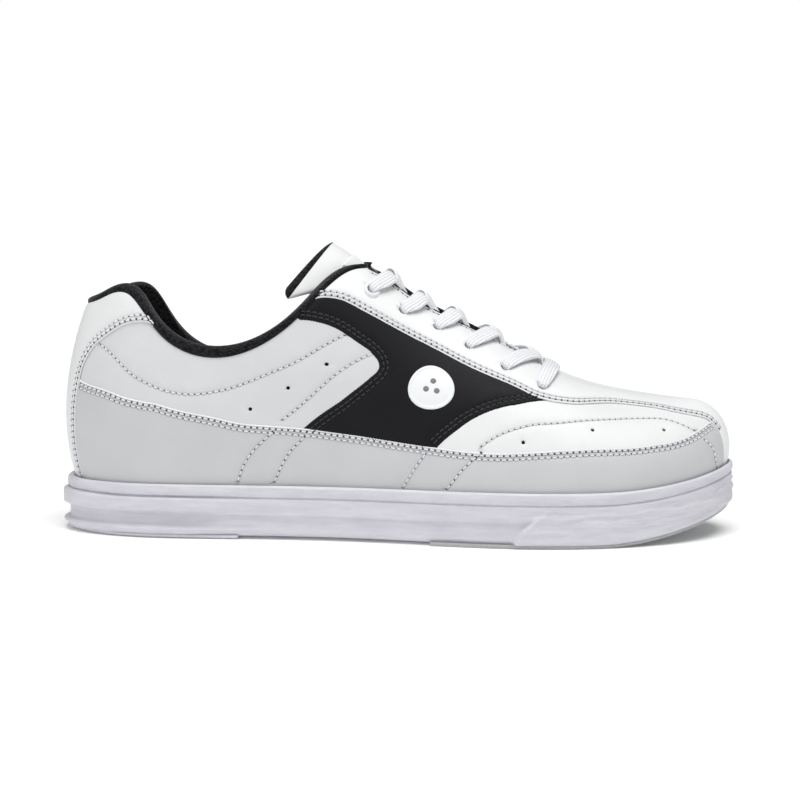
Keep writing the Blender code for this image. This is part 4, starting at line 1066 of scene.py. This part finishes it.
def tongue_grid(along, across, depth, reach=0.0):
    """Points below the tongue's upper face; along runs 0 to 8 up its centre line."""
    x, z, drop, wide = (np.interp(along, TONGUE_STEPS, col) for col in TONGUE_FINE.T)
    e = 0.35
    run = unit(np.stack([np.interp(along + e, TONGUE_STEPS, c)
                         - np.interp(along - e, TONGUE_STEPS, c) for c in TONGUE_FINE.T[:2]], -1))
    down = np.stack([-run[..., 1], run[..., 0]], -1)
    y = across * wide
    tilt = 2 * drop * y
    scale = 1 / np.sqrt(1 + tilt**2)
    side = y - np.asarray(depth) * tilt * scale
    sink = drop * y**2 + np.asarray(depth) * scale
    reach = np.asarray(reach)
    return np.stack([x + down[..., 0] * sink + run[..., 0] * reach, side,
                     z + down[..., 1] * sink + run[..., 1] * reach], -1)


def tongue():
    rows, columns = int(90 / COARSE), int(44 / COARSE)
    steps, v = np.linspace(0, TONGUE_TOP, rows), np.linspace(-1, 1, columns)
    along, across = np.meshgrid(steps, v, indexing="ij")
    puff = 0.7 * (1 - across**2) * ease(along, *TONGUE_PUFF) * (1 - 0.8 * ease(along, 7.3, 8.0))
    edge = 0.5 * np.clip((np.abs(across) - 0.93) / 0.07, 0, 1) ** 2
    top = tongue_grid(along, across, edge - puff)
    made = make("tongue_leather", top.reshape(-1, 3), grid_faces(rows, columns, False), "tongue",
                WHITE)
    turn_up(made)
    attribute(made.data, "shade", np.zeros(rows * columns))
    shell(made, 1.0)
    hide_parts("tongue_shell")

    # The knit lining with its padding, rolled up round the sides and over the top edge
    def section(a, wide, high, low, reach=0.0):
        upper, lower = (tongue_grid(np.full(columns, a), wide, d, reach) for d in (high, low))
        return np.vstack([upper, lower[::-1]])

    pad = 3.4 * (1 - 0.6 * v**2) + 1.6
    sections = [section(a, v * KNIT_WIDE, 0.9 + 0 * v, pad + 0.2) for a in steps]
    thick = 3.4 * (1 - 0.6 * v**2) + 1.8
    for share in np.linspace(0.05, 1, 12):
        swell = math.sin(share * math.pi / 2)
        out = 3.6 * swell * (0.15 + 0.85 * np.abs(v) ** 0.8)
        grow = math.cos(share * math.pi / 2)
        high = thick / 2 - (thick / 2 + 0.35) * grow ** 0.8
        low = thick / 2 + (thick / 2) * grow ** 0.8
        wide = v * (KNIT_WIDE - 0.06 * (1 - grow))
        sections.append(section(float(TONGUE_TOP), wide, high, low, out))
    made = make("tongue_knit", *spanned(sections), "tongue", BLACK_KNIT, True)
    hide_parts("tongue_foam", "tongue_lining")

    # The woven label: blank, with a pale woven border
    for name, ends, half, lift, look in (
            ("tongue_label_border", (5.98, 7.2), 0.54, 0.9, LABEL_WHITE),
            ("tongue_label_cloth", (6.04, 6.72), 0.52, 1.15, BLACK_KNIT)):
        a, v = np.meshgrid(np.linspace(*ends, 24), np.linspace(-half, half, 30), indexing="ij")
        rise = 0.7 * (1 - v**2) * ease(a, *TONGUE_PUFF) + lift
        made = make(name, tongue_grid(a, v, -rise).reshape(-1, 3), grid_faces(24, 30, False),
                    "tongue", look)
        turn_up(made)
        shell(made, 0.7)
        if "cloth" in name:
            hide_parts("tongue_label")


def turn_up(made):
    if sum(p.normal.z for p in made.data.polygons) < 0:
        made.data.flip_normals()


# ---------------------------------------------------------------- lace

LACE_WIDE, LACE_THICK = 7.5, 1.3
LACE_SIDES, LACE_RIDGES, LACE_STEP = 30, 5, 0.7
GROMMET_SIDES = 48
LEAN = 6.2                     # how far a strand bows towards the toe on its way across


def ribbon_mesh(path, out, wide):
    """Points, faces and (across, along) of a flat plaited lace; out is where its top faces."""
    run = unit(np.gradient(path, axis=0))
    out = unit(out - run * np.sum(out * run, -1, keepdims=True))
    side = np.cross(run, out)
    length = np.r_[0, np.cumsum(np.linalg.norm(np.diff(path, axis=0), axis=1))]
    angle = np.arange(LACE_SIDES) * 2 * math.pi / LACE_SIDES
    u = np.cos(angle)
    v = np.sign(np.sin(angle)) * np.abs(np.sin(angle)) ** 0.55
    ridge = 1 + 0.2 * np.cos(u * math.pi * LACE_RIDGES) * (1 - u**8)
    wide = np.broadcast_to(wide, (len(path),))[:, None, None]
    rings = path[:, None] + side[:, None] * (u[None, :, None] * wide / 2) \
        + out[:, None] * ((v * ridge)[None, :, None] * LACE_THICK / 2)
    # the lace cups a little, as a soft band does on a curve
    rings = rings - out[:, None] * (u**2)[None, :, None] * 0.05 * wide
    across = (u[None] * wide[..., 0] / 2).ravel()
    down = np.repeat(length, LACE_SIDES)
    return rings.reshape(-1, 3), tube_faces(len(path), LACE_SIDES), across, down


def lace_piece(name, ribbons):
    points, faces, across, down, start = [], [], [], [], 0
    for p, f, a, d in ribbons:
        points.append(p)
        faces += [tuple(i + start for i in face) for face in f]
        across.append(a)
        down.append(d)
        start += len(p)
    made = make(name, np.vstack(points), faces, look=LACE)
    attribute(made.data, "across_mm", np.concatenate(across))
    attribute(made.data, "along_mm", np.concatenate(down))
    return made


def on_side(x, y, depth):
    t, h = locate((x, -abs(y), None), (6, TOE))
    t = t if y < 0 else ROUND - t
    return under(np.float64(t), np.float64(h), np.float64(depth)), facing(np.float64(t), np.float64(h))


def tongue_height(x):
    line = np.array(TONGUE_LINE, float)[::-1]
    return np.interp(x, *line.T)


def through(points):
    """A dense, smooth path and its face directions through (place, direction, width) rows."""
    rows = np.array([np.r_[p, n, w] for p, n, w in points])
    dense = catmull(rows, 30)
    dense = even(dense, dense[:, :3], LACE_STEP * COARSE)
    return dense[:, :3], unit(dense[:, 3:6]), np.clip(dense[:, 6], 3.4, LACE_WIDE + 0.3)


def strand(row_number, side, on_top):
    """One crossing: up out of a hole, over the throat and under the far flap."""
    holes = [skin(*locate((x, None, z))) for x, z in EYELETS[row_number:row_number + 2]]
    (x0, y0, _), (x1, y1, _) = holes
    wide = np.interp(x0 + np.array([0.3, 0.7]) * (x1 - x0), *np.array(THROAT_EDGE, float).T[:2])
    near, far = np.abs(wide) / np.abs((y0, y1))
    lift = 1.5 if row_number == 0 else 0.9

    def at(q, height):
        share = (q + 1) / 2
        lean = LEAN * math.sin(math.pi * share)
        return on_side(x0 + (x1 - x0) * share + lean, side * (y0 + (-y1 - y0) * share), -height)

    low, normal = at(-1, -3.2)
    rim, _ = at(-1, lift * 0.5)
    start, n0 = at(-0.93, lift + 0.7)
    crest, n1 = at(-(near + 1) / 2, lift + 1.2)
    edge, n2 = at(-near + 0.04, 2.6)
    inward = unit(crest - start)
    x = (x0 + x1) / 2 + LEAN
    clear = (2.7 if on_top else 1.6) + 0.3 * (11 - np.abs(wide).mean())
    centre = np.array([x, 0, tongue_height(x) + clear])
    dive, n3 = at(far - 0.02, -2.6)
    tail, n4 = at(far + 0.45 * (1 - far), -3.1)
    up = np.array([0.0, 0.0, 1.0])
    toward_toe = np.array([0.35, 0, 0.1])
    return through([(low, -inward + 0.2 * normal, 3.8), (rim, unit(normal - 1.2 * inward), 4.2),
                    (start, unit(normal - 0.2 * inward), 5.6), (crest, n1, 7.4), (edge, n2, 7.6),
                    (centre, unit(up + toward_toe), 7.5), (dive, n3, 7.3), (tail, n4, 6.5)])


def lowest_bar():
    x, y, _ = skin(*locate((EYELETS[-1][0], None, EYELETS[-1][1])))
    rows = []
    for share, height, width in ((-1, -3.2, 3.8), (-1, 0.5, 4.2), (-0.93, 1.5, 5.4), (-0.6, 2.3, 7.3),
                                 (-0.2, 2.3, 7.5), (0.2, 2.3, 7.5), (0.6, 2.3, 7.3), (0.93, 1.5, 5.4),
                                 (1, 0.5, 4.2), (1, -3.2, 3.8)):
        place, normal = on_side(x + 3.5 * (1 - share**2), share * abs(y), -height)
        out = normal if abs(share) < 0.95 else unit(0.25 * normal + np.array([0, share, 0.0]))
        rows.append((place, out, width))
    return through(rows)


# Each end of the lace: down the lining as x and z, then over the footbed as x, y and z
TAIL_DOWN = [(-10, 96), (-9, 87), (-7, 74), (-5, 58), (-1, 43)]
TAIL_FLAT = [(7, -29, 30.5), (17, -30.5, 25), (30, -29.5, 24.3), (40, -24, 24.3), (42, -15, 24.3),
             (34, -8, 24.3), (19, -7, 24.3), (0, -9.5, 24.3), (-22, -13, 24.3), (-46, -14, 24.3),
             (-70, -12, 24.3), (-92, -10, 24.3), (-110, -12, 24.3)]
BELOW, GAP = 6.4, 0.4


def tail(side):
    """The loose end's path (the CAD tube's own) and its face directions."""
    hole_y = float(skin(*eyelet_places(side)[0])[1])
    hole, _ = on_side(EYELETS[0][0], hole_y, BELOW)
    first, normal = on_side(EYELETS[0][0], hole_y + math.copysign(5, hole_y), BELOW)
    on = unit(first - hole)
    path, out = [first + on * GAP, first + on * 2.5], [normal, normal]
    for x, z in TAIL_DOWN:
        t, h = locate((x, None, z))
        path.append(under(np.float64(side * t), np.float64(h), np.float64(BELOW - 0.1)))
        out.append(facing(np.float64(side * t), np.float64(h)))
    for x, y, z in TAIL_FLAT:
        path.append(np.array([x, y * side, z]))
        out.append(np.array([0, 0, 1.0]))
    out[-len(TAIL_FLAT)] = unit(out[-len(TAIL_FLAT) - 1] + np.array([0, 0, 1.2]))
    rows = np.array([np.r_[p, n] for p, n in zip(path, out)])
    dense = catmull(rows, 16)
    dense = even(dense, dense[:, :3], 1.2 * COARSE)
    return dense[:, :3], unit(dense[:, 3:6])


def lacing():
    ribbons = []
    for start_side, on_top in ((1, True), (-1, False)):
        side = start_side
        for number in range(len(EYELETS) - 1):
            ribbons.append(ribbon_mesh(*strand(number, side, on_top)))
            side = -side
    ribbons.append(ribbon_mesh(*lowest_bar()))
    made = lace_piece("lace_run", ribbons)
    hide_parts("lace")

    for side, name in ((1, "lateral"), (-1, "medial")):
        path, out = tail(side)
        made = lace_piece("lace_end_" + name, [ribbon_mesh(path, out, LACE_WIDE)])
        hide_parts("lace_tail_" + name)
        t, h = eyelet_places(side)[0]
        profile = [(2.15, -2.4), (2.1, 0.2), (2.3, 0.9), (2.9, 1.25), (3.5, 0.95), (3.8, 0.3),
                   (3.8, -0.1)]
        count = GROMMET_SIDES
        rings = [under(*disc_places(t, h, r, count).T, np.full(count, -z)) for r, z in profile]
        last = count * (len(rings) - 1)
        faces = grid_faces(len(rings), count, True)
        faces += [(k, k + last, (k + 1) % count + last, (k + 1) % count) for k in range(count)]
        ring = make("grommet_ring_" + name, np.vstack(rings), faces, look=PLASTIC, fix_normals=True)
        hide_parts("grommet_" + name)


# ---------------------------------------------------------------- sole

RIM_TOP = 24.0                 # a little above the CAD's rim, as its soft edge is rounded up
CREASES = 3.0                  # where the creases' noise is read
SLIDE_END, HEEL_PAD_END = 7.9, 5.1
PADS = (("slide_sole", "slide_sole_pad", SLIDE, (SLIDE_END, ROUND - SLIDE_END), 300,
         ((0.0, 2.6), (0.05, 2.2), (0.4, 1.9), (1.0, 1.75), (1.75, 1.7))),
        ("heel_rubber", "heel_rubber_pad", HEEL_RUBBER, (-HEEL_PAD_END, HEEL_PAD_END), 200,
         ((0.0, 4.4), (0.2, 3.4), (0.6, 2.7), (1.1, 2.3), (1.75, 2.1))))


def wrinkle(x, y, z):
    return noise.fractal(Vector((x * 0.055 + CREASES, y * 0.055, z * 0.42)), 0.9, 2.1, 4)


def level_ring(t, z, inset, lift=1.0):
    """A ring at height z, so far in from the sole's outline, with the sole's toe spring."""
    s = station(t)
    plan = s[:, :2] - plan_normal(t) * np.asarray(inset, float)[..., None]
    return np.column_stack([plan, z + spring(s[:, X], z) * lift])


def wall_inset(x, z):
    """How far the side wall lies in from the sole's outline, without its creases."""
    heel = 1 - ease(x, -92, -52)
    back = ease(-x, 118, 146)
    arc_x = 53 + 14 * np.clip((z - 3) / 14, 0, 1.2) ** 1.25
    front = ease(x, arc_x - 1.2, arc_x + 1.6)
    lower_flange = heel * (1 - ease(z, 4.4, 6.0))
    upper_edge = 1 - (heel * ease(z, 11.2, 12.3) + (1 - heel) * ease(z, 10.6, 13.0))
    sunk = (1.9 + 1.0 * heel) * upper_edge * (1 - lower_flange) * (1 - front)
    lip = 0.5 * np.exp(-((x - arc_x - 2.2) / 1.8) ** 2) * (z < 17)
    groove = (0.9 + 0.9 * heel) * np.exp(-((z - 18.6) / 0.55) ** 2)
    rim_band = (0.5 * heel + 1.7 * back) * ease(z, 18.3, 19.1)
    round_low = (1.3 + 0.7 * heel) * (1 - ease(z, SOLE_BOTTOM, 3.6 + 1.2 * heel))
    round_top = 0.9 * ease(z, 22.8, RIM_TOP) ** 2
    swell = -0.35 * np.exp(-((z - 21.1) / 1.7) ** 2) - 0.35 * front * np.exp(-((z - 8.5) / 5.0) ** 2)
    return 0.35 - 1.5 * back + sunk + groove + rim_band + round_low + round_top + swell - lip


def sole():
    count = int(900 / COARSE)
    t = (np.arange(count) + 0.5) * ROUND / count
    x, out = station(t)[:, X], plan_normal(t)
    rings = []
    levels = np.r_[np.linspace(SOLE_BOTTOM, 3.6, 6), np.linspace(4.1, 17.5, int(32 / COARSE)),
                   np.linspace(17.75, 19.45, 9), np.linspace(19.8, 22.8, 8),
                   np.linspace(23.1, RIM_TOP, 6)]
    for z in levels:
        ring = level_ring(t, z, wall_inset(x, z))
        crease = np.array([wrinkle(px, py, z) for px, py in ring[:, :2]])
        strength = (0.42 * ease(x, 50, 70) + 0.16) * ease(z, 2.5, 5) * (1 - ease(z, 14.5, 17))
        strength = strength + 0.07 * (z > 19)
        ring[:, :2] += out * (crease * strength)[:, None]
        rings.append(ring)
    rim = rim_width(t)
    for z, inset in ((RIM_TOP - 0.25, rim - 1.1), (RIM_TOP - 0.9, rim - 0.8),
                     (SOLE_FLOOR, rim - 0.7)):
        rings.append(level_ring(t, z, np.maximum(inset, 1.2)))
    made = make("midsole_foam", *spanned(rings), look=FOAM_SOLE, fix_normals=True)
    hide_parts("midsole")

    for name, node, look, ends, count, edge in PADS:
        t = np.linspace(*ends, int(count / COARSE))
        rings = [level_ring(t, z, inset) for z, inset in edge]
        made = make(name, *spanned(rings), look=look, fix_normals=True)
        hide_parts(node)


def footbed():
    count = int(260 / COARSE)
    t = (np.arange(count) + 0.5) * ROUND / count
    profile = ((18.4, 7.4), (22.5, 6.6), (27.0, 5.4), (27.6, 5.7), (27.3, 6.3), (24.6, 7.6),
               (23.1, 10.0), (22.75, 14.0))
    rings = [level_ring(t, z, rim_width(t) + inset - 1.0 * (z > 24), 0.9) for z, inset in profile]
    made = make("footbed_knit", *spanned(rings), look=BLACK_KNIT, fix_normals=True)
    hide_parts("footbed")


# ---------------------------------------------------------------- stage

def sun(name, toward, strength, spread):
    """A soft, even light that comes from the direction toward."""
    lamp = bpy.data.lights.new(name, "SUN")
    lamp.energy, lamp.angle = strength, math.radians(spread)
    made = bpy.data.objects.new(name, lamp)
    made.rotation_euler = Vector(toward).to_track_quat("Z", "Y").to_euler()
    bpy.context.scene.collection.objects.link(made)


def camera_and_light():
    azimuth, elevation, distance = math.radians(4), math.radians(6), 0.9
    target = Vector((0.0015, 0, 0.0578))
    back = Vector((math.sin(azimuth) * math.cos(elevation),
                   -math.cos(azimuth) * math.cos(elevation), math.sin(elevation)))
    lens = bpy.data.cameras.new("camera")
    lens.lens, lens.sensor_width, lens.clip_start = 90.4, 36, 0.01
    camera = bpy.data.objects.new("camera", lens)
    camera.location = target + back * distance
    camera.rotation_euler = (-back).to_track_quat("-Z", "Y").to_euler()
    bpy.context.scene.collection.objects.link(camera)
    bpy.context.scene.camera = camera
    bpy.context.scene.view_settings.view_transform = "Standard"

    mesh = bpy.data.meshes.new("floor")
    reach = 6.0
    corners = [(x * reach, y * reach, 0) for x, y in ((-1, -1), (1, -1), (1, 1), (-1, 1))]
    mesh.from_pydata(corners, [], [(0, 1, 2, 3)])
    look = Look("Pale floor", (255, 255, 255), 0.9, Emission_Color=(1, 1, 1, 1), Emission_Strength=0.05)
    mesh.materials.append(look.material)
    floor = bpy.data.objects.new("floor", mesh)
    bpy.context.scene.collection.objects.link(floor)

    world = bpy.data.worlds.new("Studio")
    bpy.context.scene.world = world
    world.use_nodes = True
    nodes, links = world.node_tree.nodes, world.node_tree.links
    nodes["Background"].inputs["Color"].default_value = (1, 1, 1, 1)
    path = nodes.new("ShaderNodeLightPath")
    amount = nodes.new("ShaderNodeMapRange")
    amount.inputs["To Min"].default_value, amount.inputs["To Max"].default_value = 0.26, 1.0
    links.new(path.outputs["Is Camera Ray"], amount.inputs["Value"])
    links.new(amount.outputs["Result"], nodes["Background"].inputs["Strength"])
    sun("overhead", (0.10, -0.26, 1.0), 2.45, 45)
    sun("front left", (-0.7, -0.8, 0.6), 0.45, 40)


def cad_looks():
    for node, look in (("insole_board", BOARD), ("toe_puff", BOARD), ("heel_counter", BOARD),
                       ("aglet_lateral", TIP), ("aglet_medial", TIP)):
        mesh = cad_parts[node].data
        for k in range(len(mesh.materials)):
            mesh.materials[k] = look


camera_and_light()
lacing()
cad_looks()
sole()
footbed()
leather_panels()
badge()
all_threads()
collar()
front_lining()
tongue()
